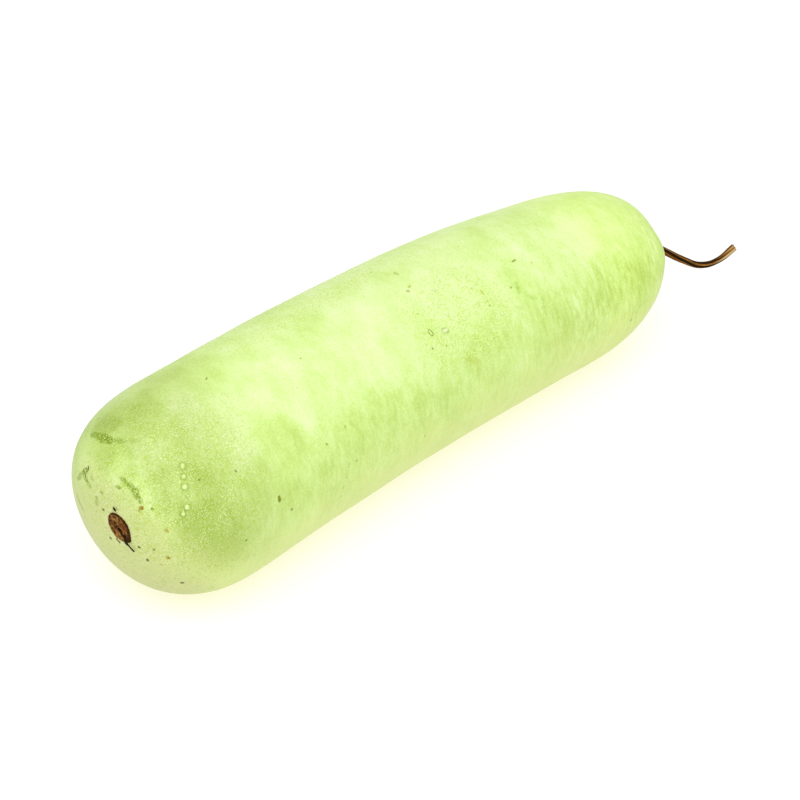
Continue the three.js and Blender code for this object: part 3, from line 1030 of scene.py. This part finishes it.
def tube(route, radii, steps, profile=None, turns=0.0):
    """A mesh tube along a smooth route, with its points and radii in millimetres."""
    start_piece()
    bpy.ops.curve.primitive_bezier_curve_add(location=(0, 0, 0))
    line = bpy.context.object
    spline = line.data.splines[0]
    spline.bezier_points.add(len(route) - len(spline.bezier_points))
    for index, (point, place, radius) in enumerate(zip(spline.bezier_points, route, radii)):
        point.co = millimetres(place)
        point.handle_left_type = "AUTO"
        point.handle_right_type = "AUTO"
        point.radius = radius
        point.tilt = turns * FULL_TURN * index / (len(route) - 1)
    line.data.dimensions = "3D"
    line.data.resolution_u = steps
    line.data.use_fill_caps = True
    if profile:
        line.data.bevel_mode = "OBJECT"
        line.data.bevel_object = profile
    else:
        line.data.bevel_depth = MM
        line.data.bevel_resolution = 2
    line.data.twist_mode = "MINIMUM"
    pick(line)
    bpy.ops.object.convert(target="MESH")
    made = bpy.context.object
    edit(made)
    bpy.ops.mesh.select_all(action="SELECT")
    bpy.ops.mesh.remove_doubles(threshold=MERGE_DISTANCE * MM)
    bpy.ops.mesh.normals_make_consistent(inside=False)
    bpy.ops.object.mode_set(mode="OBJECT")
    return made


class GOURD_OT_stem(bpy.types.Operator):
    """Model the dry stem: a ribbed, grooved stalk with a frayed tip"""

    bl_idname = "gourd.stem"
    bl_label = "Add stem"
    bl_options = {"REGISTER", "UNDO"}

    # Groove places round the stem as shares of a turn, with how far each is drawn in
    GROOVES = ((0.0, 0.8), (0.2, 0.76), (0.4, 0.5), (0.6, 0.78), (0.8, 0.7))
    # Steps out from a groove's middle, and the share of its depth at each
    GROOVE_SHAPE = ((0, 1.0), (1, 0.5))
    # Width and height of the unevenness, in millimetres
    GRAIN = (0.9, 0.12)
    # The frayed tip, in millimetres: how deep its edge is, and how far and over what reach it is
    # pulled out on its near side and at its upper edge
    FRAYED_EDGE = 0.35
    NEAR_PULL = (0.5, 2.0)
    UPPER_PULL = (1.1, 1.2)
    SPREAD = 0.1

    def execute(self, context):
        settings = context.scene.gourd.stem
        profile = self.profile(settings.profile_points)
        stem = tube(STEM_ROUTE, STEM_RADII, steps=10, profile=profile, turns=STEM_TWIST)
        bpy.data.objects.remove(profile)
        self.fray(stem)
        subdivide(stem, 1)
        roughen(stem, *self.GRAIN)
        shade_smooth(stem)
        dress(stem, "gourd_stem", stem_material(settings), "stem")
        return {"FINISHED"}

    def profile(self, points):
        """The stem's cut outline: a ring drawn in at each groove."""
        start_piece()
        bpy.ops.mesh.primitive_circle_add(vertices=points, radius=1 * MM, fill_type="NOTHING")
        ring = bpy.context.object
        for share, depth in self.GROOVES:
            for reach, strength in self.GROOVE_SHAPE:
                centre = round(share * points)
                indices = {(centre + side * reach) % points for side in (-1, 1)}
                edit(ring)
                bpy.ops.object.mode_set(mode="OBJECT")
                for index in indices:
                    ring.data.vertices[index].select = True
                bpy.ops.object.mode_set(mode="EDIT")
                pull = 1 - (1 - depth) * strength
                bpy.ops.transform.resize(value=(pull, pull, 1), center_override=(0, 0, 0))
        bpy.ops.object.mode_set(mode="OBJECT")
        bpy.ops.object.convert(target="CURVE")
        return bpy.context.object

    def fray(self, stem):
        """Pulls the near side of the tip out and a prong out of its upper edge."""
        tip = millimetres(STEM_ROUTE[-1])
        heading = (tip - millimetres(STEM_ROUTE[-2])).normalized()
        level = [(vertex.co - tip).dot(heading) for vertex in stem.data.vertices]
        top = max(level)
        side = heading.cross(Vector((0, 0, 1))).normalized()
        lift = side.cross(heading)
        edge = [
            vertex.co.copy()
            for vertex, height in zip(stem.data.vertices, level)
            if height > top - self.FRAYED_EDGE * MM
        ]
        for way, (length, reach) in ((side, self.NEAR_PULL), (lift, self.UPPER_PULL)):
            outer = max(edge, key=lambda co: (co - tip).dot(way))
            press(stem, outer, (heading * length + way * self.SPREAD) * MM, reach * MM)
        bpy.ops.object.mode_set(mode="OBJECT")


# The stem's fibres and streaks: stretch along and round it, the noise and its swing
FIBRE_STRETCH = (5, 26, 1)
FIBRES = {"scale": 3, "detail": 4, "roughness": 0.65}
FIBRE_SWING = 1.0
STREAK_STRETCH = (1.6, 7, 1)
STREAKS = {"scale": 1.7, "detail": 2, "roughness": 0.5}
STREAK_SWING = 0.9

# The stem's tone: its usual level, the limits and share of the shade in its grooves, the paler
# tip between two distances along, and where its four colours lie from dark to pale
STEM_TONE = 0.66
GROOVE_SHADE = (-0.75, 0.6, 0.0, 0.6)
PALE_TIP = (208, 218, 0.0, 0.62)
STEM_PLACES = (0.12, 0.42, 0.68, 0.98)

# Lengthwise bands of the stem: place round it as a share of a turn, the limits of the edge, and
# between what distances along the stem the band sets in
FURROW = (0.0, (0.9, 0.98), (214, 207))
FURROW_BREAKS = (0.36, 0.56, 0.25, 0.48)
UPPER_BAND = (0.64, (0.74, 0.95, 0, 0.5), (196, 204))
LOWER_BAND = (0.18, (0.78, 0.97), (204, 192))
LOWER_BREAKS = (0.3, 0.6, 0.3, 0.75)


def stem_band(weave, around, far, share, edge, along):
    """One along a band of the stem, and nothing away from it."""
    turned = weave.maths("MULTIPLY_ADD", around, FULL_TURN, -share * FULL_TURN)
    return weave.product(weave.fade(weave.maths("COSINE", turned), *edge), weave.over(far, *along))


def stem_material(settings):
    """Dry fibres: dark in the grooves, tan on the ribs, redder low down and pale at the tip."""
    material, shader, weave = new_material("dry_stem", Roughness=0.75, Specular_IOR_Level=0.08)
    surface = weave.node("ShaderNodeTexCoord").outputs["UV"]
    around = weave.axes(surface)[1]
    far = weave.axes(weave.own_place())[0]
    fibres = weave.noise(weave.stretch(surface, FIBRE_STRETCH), **FIBRES)
    streaks = weave.noise(weave.stretch(surface, STREAK_STRETCH), **STREAKS)
    turn = weave.product(around, len(GOURD_OT_stem.GROOVES) * FULL_TURN)
    furrow = stem_band(weave, around, far, *FURROW)
    shade = weave.total(
        weave.fade(weave.maths("COSINE", turn), *GROOVE_SHADE),
        weave.product(furrow, weave.fade(streaks, *FURROW_BREAKS)),
        stem_band(weave, around, far, *UPPER_BAND),
    )
    light = weave.total(
        STEM_TONE,
        weave.swing(fibres, FIBRE_SWING),
        weave.swing(streaks, STREAK_SWING),
        weave.over(far, *PALE_TIP),
    )
    colour = weave.ramp(
        weave.maths("SUBTRACT", light, shade),
        STEM_PLACES,
        (settings.groove, settings.bark, settings.rib, settings.tip),
    )
    lower = stem_band(weave, around, far, *LOWER_BAND)
    lower = weave.product(lower, weave.fade(fibres, *LOWER_BREAKS))
    weave.paint(shader, weave.mix(lower, colour, settings.russet))
    weave.bump(shader, fibres, strength=0.6, depth=0.12)
    return material


class GOURD_OT_scar(bpy.types.Operator):
    """Model the dry blossom scar: a corky oval disc with a rim and a pit, and its filament"""

    bl_idname = "gourd.scar"
    bl_label = "Add blossom scar"
    bl_options = {"REGISTER", "UNDO"}

    SIDES = 40
    # In millimetres: the part that sits in the socket, the last ring inwards, and a corner to
    # order the mesh by
    PLUG = 1.6
    LAST_STEP = 0.9
    ORDER_CORNER = (31, 17, 23)
    # Widths and heights of the unevenness, in millimetres
    GRAINS = ((1.1, 0.35), (0.35, 0.15))
    FILAMENT_GRAIN = (0.5, 0.18)
    SCRAP_GRAIN = (0.6, 0.5)
    SCRAP_PLACE = (-171.95, -6.2, 59.6)
    SCRAP_SIZE = (0.4, 0.5, 1.15)
    SCRAP_LEAN = math.radians(-45)
    # Steps from the outer edge inwards: way in and way up, in millimetres
    STEPS = ((0.35, 0.4), (0.45, 0.15), (0.5, -0.3), (0.6, -0.12), (0.8, 0.05), (0.9, 0.05), (0.9, 0.0))
    # Places pressed in or drawn out: where along and across the disc, by how much, and the reach
    DENTS = (
        ((1.0, -0.7, 0), (0, 0, -0.9), 1.7),
        ((2.2, 0, 0), (0, 0, -0.6), 1.4),
        ((4.1, 0.4, 0), (0, 0, -0.45), 1.2),
        ((-4.6, 0, 0), (0, 0, 0.3), 1.6),
        ((-2.2, 2, 0), (0, 0, 0.3), 1.4),
        ((3, -2.9, 0), (0, 0, 0.35), 1.6),
        ((6.8, 1.2, 0), (1.0, 0.35, -0.1), 3.2),
    )

    def execute(self, context):
        settings = context.scene.gourd.scar
        material = scar_material(settings)
        scar = self.disc(settings)
        dress(scar, "blossom_scar_disc", material, "blossom_scar")
        fibre = fibre_material()
        filament = tube(FILAMENT_ROUTE, FILAMENT_RADII, steps=8)
        roughen(filament, *self.FILAMENT_GRAIN)
        shade_smooth(filament)
        dress(filament, "dried_filament", fibre)
        self.crumb(fibre)
        return {"FINISHED"}

    def disc(self, settings):
        """An oval disc built up by insets, then turned to face out of the fruit."""
        start_piece()
        bpy.ops.mesh.primitive_circle_add(
            vertices=self.SIDES,
            radius=settings.length / 2,
            fill_type="NGON",
            location=(0, 0, -self.PLUG * MM),
        )
        disc = bpy.context.object
        freeze()
        bpy.ops.object.mode_set(mode="EDIT")
        bpy.ops.mesh.select_mode(type="FACE")
        bpy.ops.mesh.select_all(action="SELECT")
        bpy.ops.mesh.extrude_region_move(TRANSFORM_OT_translate={"value": (0, 0, self.PLUG * MM)})
        for way_in, way_up in self.STEPS:
            bpy.ops.mesh.inset(thickness=way_in * MM, depth=way_up * MM)
        bpy.ops.mesh.inset(thickness=self.LAST_STEP * MM, depth=0)
        bpy.ops.mesh.poke()
        bpy.ops.mesh.select_all(action="SELECT")
        bpy.ops.transform.resize(
            value=(1, settings.width / settings.length, 1), center_override=(0, 0, 0)
        )
        bpy.ops.mesh.normals_make_consistent(inside=False)
        settle_order(self.ORDER_CORNER)
        bpy.ops.object.mode_set(mode="OBJECT")
        subdivide(disc, 2)
        for grain in self.GRAINS:
            roughen(disc, *grain)
        for centre, shift, reach in self.DENTS:
            press(disc, millimetres(centre), millimetres(shift), reach * MM)
        bpy.ops.object.mode_set(mode="OBJECT")
        self.place(disc)
        shade_smooth(disc)
        return disc

    def place(self, disc):
        """Turns the disc's face to the blossom end and its long way along the scar."""
        disc.rotation_euler = scar_turn()
        disc.location = millimetres(SCAR_CENTRE)
        pick(disc)
        freeze()

    def crumb(self, material):
        """A loose dark scrap that stuck beside the scar."""
        start_piece()
        bpy.ops.mesh.primitive_ico_sphere_add(
            subdivisions=3, radius=MM, location=millimetres(self.SCRAP_PLACE)
        )
        scrap = bpy.context.object
        scrap.scale = self.SCRAP_SIZE
        scrap.rotation_euler = (self.SCRAP_LEAN, 0, 0)
        freeze()
        roughen(scrap, *self.SCRAP_GRAIN)
        shade_smooth(scrap)
        dress(scrap, "dry_scrap", material)


def scar_turn():
    """The turn that lays a flat disc against the blossom end, its long way along the scar."""
    out = Vector(SCAR_OUT).normalized()
    long_way = Vector((0, math.cos(SCAR_TURN), math.sin(SCAR_TURN)))
    long_way = (long_way - out * long_way.dot(out)).normalized()
    return Matrix((long_way, out.cross(long_way), out)).transposed().to_euler()


# Marks on the scar: two ends along and across the disc in millimetres, half thickness, colour
# and strength
SCAR_MARKS = (
    ((-5.6, -1.7), (-3.4, -0.7), 0.5, "straw", 0.75),
    ((-5.2, 0.5), (-2.2, 1.8), 0.5, "straw", 0.85),
    ((-4.0, 2.0), (-1.4, 3.3), 0.4, "straw", 0.6),
    ((-2.6, -1.8), (-1.2, -0.8), 0.45, "straw", 0.6),
    ((-3.6, -3.2), (0.6, -3.9), 0.55, "straw", 0.55),
    ((0.6, -3.7), (4.4, -2.5), 0.65, "straw", 0.9),
    ((4.4, -2.5), (6.0, -1.2), 0.5, "straw", 0.75),
    ((0.4, 3.0), (2.0, 3.9), 1.3, "russet", 0.8),
    ((2.4, 2.0), (3.4, 2.6), 0.8, "russet", 0.6),
    # These bark marks lie in the pit and groove pressed in by the dents: painted shade in the hollows
    # over the scar's own dark brown
    ((0.5, -1.5), (1.5, 0.1), 1.45, "bark", 1.0),
    ((2.2, -1.0), (3.6, -0.9), 0.9, "bark", 1.0),
    ((3.6, -0.8), (5.2, 0.4), 1.0, "bark", 1.0),
    ((3.2, -1.6), (5.0, -1.3), 0.5, "bark", 0.7),
    ((-3.4, -0.4), (-1.6, 0.6), 0.35, "bark", 0.8),
    ((-3.0, 2.2), (0.2, 4.6), 0.3, "bark", 0.8),
    ((4.6, 1.6), (7.2, 1.0), 1.2, "rim", 0.8),
    ((6.2, 2.8), (8.2, 2.2), 0.8, "russet", 0.7),
    ((3.4, 4.0), (5.4, 3.4), 0.9, "rim", 0.7),
    ((1.2, 1.0), (2.6, 1.8), 0.8, "orange", 0.75),
    ((-2.0, 3.0), (-0.4, 4.0), 0.5, "orange", 0.7),
)


# The scar's streaks and lumps, with their swing, its usual tone and where its three colours lie
SCAR_STRETCH = (0.35, 1, 1)
SCAR_STREAKS = {"scale": 1300, "detail": 3, "roughness": 0.6, "distortion": 0.4}
SCAR_STREAK_SWING = 1.7
SCAR_LUMPS = {"scale": 620, "detail": 3, "roughness": 0.6}
SCAR_LUMP_SWING = 1.5
SCAR_TONE = 0.44
SCAR_PLACES = (0.2, 0.46, 0.74)

# Ragged edges of the scar's rim and marks, how soft the marks are, and where its dark rim starts
# as shares of the way out. The dark rim is partly the scar's own brown and partly painted shade
# of the raised rim's outer wall
RIM_STIR = (900, 0.8)
SCAR_MARK_STIR = (1300, 0.4)
SCAR_MARK_SOFTNESS = 0.8
RIM_UNEVENNESS = 0.2
RIM_EDGE = (0.95, 1.06)

# Dried fibre: its noise, where its two colours lie and what they are
FIBRE_NOISE = {"scale": 1500, "detail": 3, "roughness": 0.6}
FIBRE_PLACES = (0.4, 0.75)
FIBRE_COLOURS = ((0.005, 0.003, 0.001), (0.045, 0.028, 0.008))

# Water: the noise and swing of its cloudiness, its colours from foot to crown, how clear it is,
# and the paler water on the pale skin beyond the near end. These colours are painted: the skin
# seen through the drops, with painted shade at the foot and a painted highlight on the crown
WATER_NOISE = {"scale": 700, "detail": 2}
WATER_SWING = 0.5
WATER_PLACES = (0.1, 0.35, 0.75, 1.0)
WATER_SHADE_TO_HIGHLIGHT = ((0.29, 0.40, 0.07), (0.40, 0.54, 0.15), (0.48, 0.62, 0.18), (0.66, 0.78, 0.32))
WATER_BODY = (0.05, 0.9, 0.6, 0.8)
PALE_WATER = (-140, -100, 0, 0.6)
PALE_WATER_COLOUR = (0.74, 0.82, 0.46)


def scar_material(settings):
    """Cork with pale streaks, and a dark rim and dark pits that are partly painted shade."""
    material, shader, weave = new_material("dry_scar", Roughness=0.8, Specular_IOR_Level=0.06)
    sockets = {
        "Vector": weave.own_place(),
        "Location": millimetres(SCAR_CENTRE),
        "Rotation": scar_turn(),
    }
    own = weave.node("ShaderNodeMapping", sockets, vector_type="TEXTURE").outputs[0]
    streaks = weave.noise(weave.stretch(own, SCAR_STRETCH), **SCAR_STREAKS)
    lumps = weave.noise(own, **SCAR_LUMPS)
    tone = weave.total(
        SCAR_TONE, weave.swing(streaks, SCAR_STREAK_SWING), weave.swing(lumps, SCAR_LUMP_SWING)
    )
    colour = weave.ramp(tone, SCAR_PLACES, (settings.bark, settings.cork, settings.straw))
    rough = weave.stir(own, *SCAR_MARK_STIR)
    for first, second, reach, paint, strength in SCAR_MARKS:
        mask = mark_mask(weave, rough, (*first, 0), (*second, 0), reach, SCAR_MARK_SOFTNESS)
        colour = weave.mix(weave.product(mask, strength), colour, getattr(settings, paint))
    across = (2 / settings.length, 2 / settings.width, 0)
    outward = weave.vector("MULTIPLY", weave.stir(own, *RIM_STIR), across).outputs[0]
    outward = weave.vector("LENGTH", outward).outputs["Value"]
    worn = weave.maths("MULTIPLY_ADD", lumps, RIM_UNEVENNESS, outward)
    # The dark rim: partly the scar's own brown, partly painted shade of the raised rim
    weave.paint(shader, weave.mix(weave.fade(worn, *RIM_EDGE), colour, settings.rim))
    weave.bump(shader, tone, strength=0.6, depth=0.15)
    return material


def fibre_material():
    """Nearly black, dried fibre."""
    material, shader, weave = new_material("dark_fibre", Roughness=0.7, Specular_IOR_Level=0.08)
    tone = weave.noise(weave.own_place(), **FIBRE_NOISE)
    weave.paint(shader, weave.ramp(tone, FIBRE_PLACES, FIBRE_COLOURS))
    return material


def water_material():
    """Water drops with painted colours: the skin seen through them, painted shade at the foot, a clear
    flank and a painted highlight on the crown.
    """
    material, shader, weave = new_material("clear_water", Roughness=0.08, IOR=1.33)
    crown = weave.node("ShaderNodeAttribute", attribute_name="crown").outputs["Fac"]
    place = weave.own_place()
    level = weave.total(crown, weave.swing(weave.noise(place, **WATER_NOISE), WATER_SWING))
    # Painted shade at the foot of each drop and a painted highlight on its crown
    tint = weave.ramp(level, WATER_PLACES, WATER_SHADE_TO_HIGHLIGHT)
    along = weave.axes(place)[0]
    weave.paint(shader, weave.mix(weave.over(along, *PALE_WATER), tint, PALE_WATER_COLOUR))
    weave.tree.links.new(weave.fade(level, *WATER_BODY), shader.inputs["Alpha"])
    return material


def mark_crown(piece):
    """Stores how high each point stands on its drop, from nought at the foot to one on top."""
    heights = [vertex.co.z for vertex in piece.data.vertices]
    low, high = min(heights), max(heights)
    crown = piece.data.attributes.new("crown", "FLOAT", "POINT")
    for value, height in zip(crown.data, heights):
        value.value = (height - low) / (high - low)


class GOURD_OT_large_drops(bpy.types.Operator):
    """Model one sessile drop and set copies of it on the skin"""

    bl_idname = "gourd.large_drops"
    bl_label = "Add large drops"
    bl_options = {"REGISTER", "UNDO"}

    # The dome that they are copies of: where its foot is cut, how flat it is, and a corner to
    # order its mesh by, in millimetres
    FOOT = (0, 0, -0.12)
    FLATNESS = 0.62
    ORDER_CORNER = (1900, 700, 1300)

    def execute(self, context):
        skin = bpy.data.objects.get("gourd_skin")
        if skin is None:
            raise RuntimeError("the fruit has to be added before its drops")
        pattern = self.pattern()
        drops = [self.copy(pattern, skin, *drop[:3]) for drop in LARGE_DROPS]
        bpy.data.objects.remove(pattern)
        start_piece()
        for drop in drops:
            drop.select_set(True)
        bpy.context.view_layer.objects.active = drops[0]
        bpy.ops.object.join()
        joined = bpy.context.object
        shade_smooth(joined)
        dress(joined, "large_drops", water_material())
        return {"FINISHED"}

    def pattern(self):
        """A dome with a flat foot, one metre across."""
        start_piece()
        bpy.ops.mesh.primitive_uv_sphere_add(segments=24, ring_count=14, radius=0.5)
        dome = bpy.context.object
        edit(dome)
        bpy.ops.mesh.select_all(action="SELECT")
        bpy.ops.mesh.bisect(
            plane_co=self.FOOT, plane_no=(0, 0, 1), use_fill=True, clear_inner=True
        )
        bpy.ops.mesh.select_all(action="SELECT")
        bpy.ops.transform.resize(value=(1, 1, self.FLATNESS), center_override=self.FOOT)
        settle_order(self.ORDER_CORNER)
        bpy.ops.object.mode_set(mode="OBJECT")
        mark_crown(dome)
        return dome

    def copy(self, pattern, skin, place, width, length):
        """One drop of its own size, seated on the skin with its long way downhill."""
        found, spot, normal, _ = skin.closest_point_on_mesh(millimetres(place))
        if not found:
            raise RuntimeError("a drop has no skin under it")
        downhill = Vector((0, 0, -1))
        downhill = (downhill - normal * downhill.dot(normal)).normalized()
        turn = Matrix((normal.cross(downhill), -downhill, normal)).transposed()
        size = Matrix.Diagonal((width * MM, length * MM, width * MM))
        drop = pattern.copy()
        drop.data = pattern.data.copy()
        bpy.context.scene.collection.objects.link(drop)
        drop.matrix_world = Matrix.Translation(spot) @ (turn @ size).to_4x4()
        pick(drop)
        freeze()
        return drop


class GOURD_OT_mist(bpy.types.Operator):
    """Scatter the fine drops over the misted stretches of the skin"""

    bl_idname = "gourd.mist"
    bl_label = "Add fine drops"
    bl_options = {"REGISTER", "UNDO"}

    # The noise and limits of the clumps that they lie in, the most to a square metre, the least
    # and greatest size along, across and up, and the limits of the value kept for their crowns
    CLUMP_NOISE = {"scale": 110, "detail": 2}
    CLUMPS = (0.38, 0.6, 0.15, 1.0)
    DENSITY = 1.6e6
    LEAST_SIZE = (0.45, 0.45, 0.35)
    GREATEST_SIZE = (1.7, 1.7, 1.0)
    CROWN_START = -0.2
    LEAST_CROWN = 0.4

    def execute(self, context):
        settings = context.scene.gourd.water
        skin = bpy.data.objects.get("gourd_skin")
        if skin is None:
            raise RuntimeError("the fruit has to be added before its drops")
        water = bpy.data.materials.get("clear_water") or water_material()
        for index, (name, *stretch, _) in enumerate(MISTED):
            start_piece()
            misted = skin.copy()
            misted.data = skin.data.copy()
            misted.parent = None
            for key in list(misted.keys()):
                if key.startswith("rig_"):
                    del misted[key]
            context.scene.collection.objects.link(misted)
            group = self.scatter(settings, settings.seed + index, *stretch)
            apply_modifier(misted, "NODES", node_group=group)
            bpy.data.node_groups.remove(group)
            dress(misted, name, water)
            shade_smooth(misted)
        return {"FINISHED"}

    def scatter(self, settings, seed, centre, reach, longer, finer):
        """Geometry nodes that leave only small drops where the mist lies."""
        group = bpy.data.node_groups.new("mist", "GeometryNodeTree")
        group.interface.new_socket("Geometry", in_out="INPUT", socket_type="NodeSocketGeometry")
        group.interface.new_socket("Geometry", in_out="OUTPUT", socket_type="NodeSocketGeometry")
        weave = Weaver(group)
        skin = weave.node("NodeGroupInput").outputs[0]
        place = weave.node("GeometryNodeInputPosition").outputs[0]
        nearness = mist_share(weave, place, centre, reach, longer)
        clumps = weave.fade(weave.noise(place, **self.CLUMP_NOISE), *self.CLUMPS)
        points = weave.node(
            "GeometryNodeDistributePointsOnFaces",
            {
                "Mesh": skin,
                "Distance Min": settings.spacing,
                "Density Max": self.DENSITY,
                "Density Factor": weave.product(nearness, clumps),
                "Seed": seed,
            },
            distribute_method="POISSON",
        )
        radius = settings.fine_radius * finer
        drop = weave.node(
            "GeometryNodeMeshIcoSphere", {"Radius": radius, "Subdivisions": 1}
        ).outputs[0]
        height = weave.axes(weave.node("GeometryNodeInputPosition").outputs[0])[2]
        # The crown value sets the fine drops' painted shade and painted highlight
        crown = weave.fade(height, self.CROWN_START * radius, radius, self.LEAST_CROWN)
        drop = weave.node(
            "GeometryNodeStoreNamedAttribute",
            {"Geometry": drop, "Name": "crown", "Value": crown},
            data_type="FLOAT",
            domain="POINT",
        ).outputs[0]
        size = weave.node(
            "FunctionNodeRandomValue",
            {"Min": self.LEAST_SIZE, "Max": self.GREATEST_SIZE, "Seed": seed},
            data_type="FLOAT_VECTOR",
        ).outputs[0]
        copies = weave.node(
            "GeometryNodeInstanceOnPoints",
            {
                "Points": points.outputs["Points"],
                "Instance": drop,
                "Rotation": points.outputs["Rotation"],
                "Scale": size,
            },
        ).outputs[0]
        real = weave.node("GeometryNodeRealizeInstances", {"Geometry": copies}).outputs[0]
        output = group.nodes.new("NodeGroupOutput")
        group.links.new(real, output.inputs[0])
        return group


class GOURD_OT_stage(bpy.types.Operator):
    """Set the pale floor, the soft light and the camera"""

    bl_idname = "gourd.stage"
    bl_label = "Add stage"
    bl_options = {"REGISTER", "UNDO"}

    # In millimetres: what the camera looks at, its sensor's width and the gap under the fruit
    AIM = (-16.406, -19.838, 45)
    SENSOR = 36
    FLOOR_GAP = 0.1
    # How uneven the floor's colour is
    FLOOR_NOISE = {"scale": 3, "detail": 2}
    FLOOR_LIGHTEST = 1.01
    # Height, distance in metres and side in metres of the soft light
    KEY_HEIGHT = math.radians(52)
    KEY_DISTANCE = 2.2
    KEY_SIZE = 1.6

    def execute(self, context):
        settings = context.scene.gourd.stage
        self.floor(settings)
        self.light(context, settings)
        self.camera(context, settings)
        context.scene.view_settings.view_transform = "Standard"
        return {"FINISHED"}

    def floor(self, settings):
        """A wide pale floor just under the fruit's flat spot."""
        start_piece()
        bpy.ops.mesh.primitive_plane_add(size=settings.floor_size, location=(0, 0, -self.FLOOR_GAP * MM))
        floor = bpy.context.object
        freeze()
        floor.name = "floor"
        material, shader, weave = new_material("pale_floor", Roughness=0.9, Specular_IOR_Level=0.1)
        tone = weave.noise(weave.own_place(), **self.FLOOR_NOISE)
        lightest = [min(1, channel * self.FLOOR_LIGHTEST) for channel in settings.floor_colour]
        weave.paint(shader, weave.mix(tone, settings.floor_colour, lightest))
        shader.inputs["Emission Color"].default_value = (*settings.floor_glow, 1)
        shader.inputs["Emission Strength"].default_value = 1.0
        floor.data.materials.append(material)

    def light(self, context, settings):
        """An even white sky and one large soft light on the camera's side."""
        world = bpy.data.worlds.new("soft_sky")
        world.use_nodes = True
        sky = world.node_tree.nodes["Background"]
        sky.inputs["Color"].default_value = (1, 1, 1, 1)
        sky.inputs["Strength"].default_value = settings.sky
        context.scene.world = world
        start_piece()
        back = self.direction(settings.azimuth, self.KEY_HEIGHT)
        bpy.ops.object.light_add(
            type="AREA",
            location=back * self.KEY_DISTANCE,
            rotation=(-back).to_track_quat("-Z", "Y").to_euler(),
        )
        key = bpy.context.object
        key.name = "soft_key"
        key.data.shape = "SQUARE"
        key.data.size = self.KEY_SIZE
        key.data.energy = settings.key

    def direction(self, azimuth, elevation):
        """The way from the gourd to a viewer at an azimuth and an elevation."""
        level = math.cos(elevation)
        return Vector((math.sin(azimuth) * level, -math.cos(azimuth) * level, math.sin(elevation)))

    def camera(self, context, settings):
        """The camera, looking down at the gourd from beyond its blossom end."""
        back = self.direction(settings.azimuth, settings.elevation)
        start_piece()
        bpy.ops.object.camera_add(
            location=millimetres(self.AIM) + back * settings.distance,
            rotation=(-back).to_track_quat("-Z", "Y").to_euler(),
        )
        camera = bpy.context.object
        camera.data.sensor_width = self.SENSOR
        camera.data.lens = settings.lens
        context.scene.camera = camera


class GOURD_PT_sidebar(bpy.types.Panel):
    """Lists the steps that build the gourd"""

    bl_label = "Bottle Gourd"
    bl_idname = "GOURD_PT_sidebar"
    bl_space_type = "VIEW_3D"
    bl_region_type = "UI"
    bl_category = "Gourd"

    def draw(self, context):
        settings = context.scene.gourd
        for operator in OPERATORS:
            self.layout.operator(operator.bl_idname)
        for group in (settings.fruit, settings.stem, settings.scar, settings.water, settings.stage):
            box = self.layout.box()
            box.label(text=group.bl_rna.name)
            for name in group.__annotations__:
                box.prop(group, name)


OPERATORS = (
    GOURD_OT_stage,
    GOURD_OT_fruit,
    GOURD_OT_stem,
    GOURD_OT_scar,
    GOURD_OT_large_drops,
    GOURD_OT_mist,
)
SETTINGS = (
    FruitSettings,
    StemSettings,
    ScarSettings,
    WaterSettings,
    StageSettings,
    GourdSettings,
)
CLASSES = (*SETTINGS, *OPERATORS, GOURD_PT_sidebar)


def register():
    """Adds the settings, the steps and the sidebar to Blender."""
    for owner in CLASSES:
        bpy.utils.register_class(owner)
    bpy.types.Scene.gourd = PointerProperty(type=GourdSettings)


def unregister():
    """Takes them out again, last one first."""
    del bpy.types.Scene.gourd
    for owner in reversed(CLASSES):
        bpy.utils.unregister_class(owner)


def main():
    """Builds the gourd and its stage."""
    register()
    bpy.ops.gourd.stage()
    bpy.ops.gourd.fruit()
    bpy.ops.gourd.stem()
    bpy.ops.gourd.scar()
    bpy.ops.gourd.large_drops()
    bpy.ops.gourd.mist()
    start_piece()


if __name__ == "__main__":
    main()
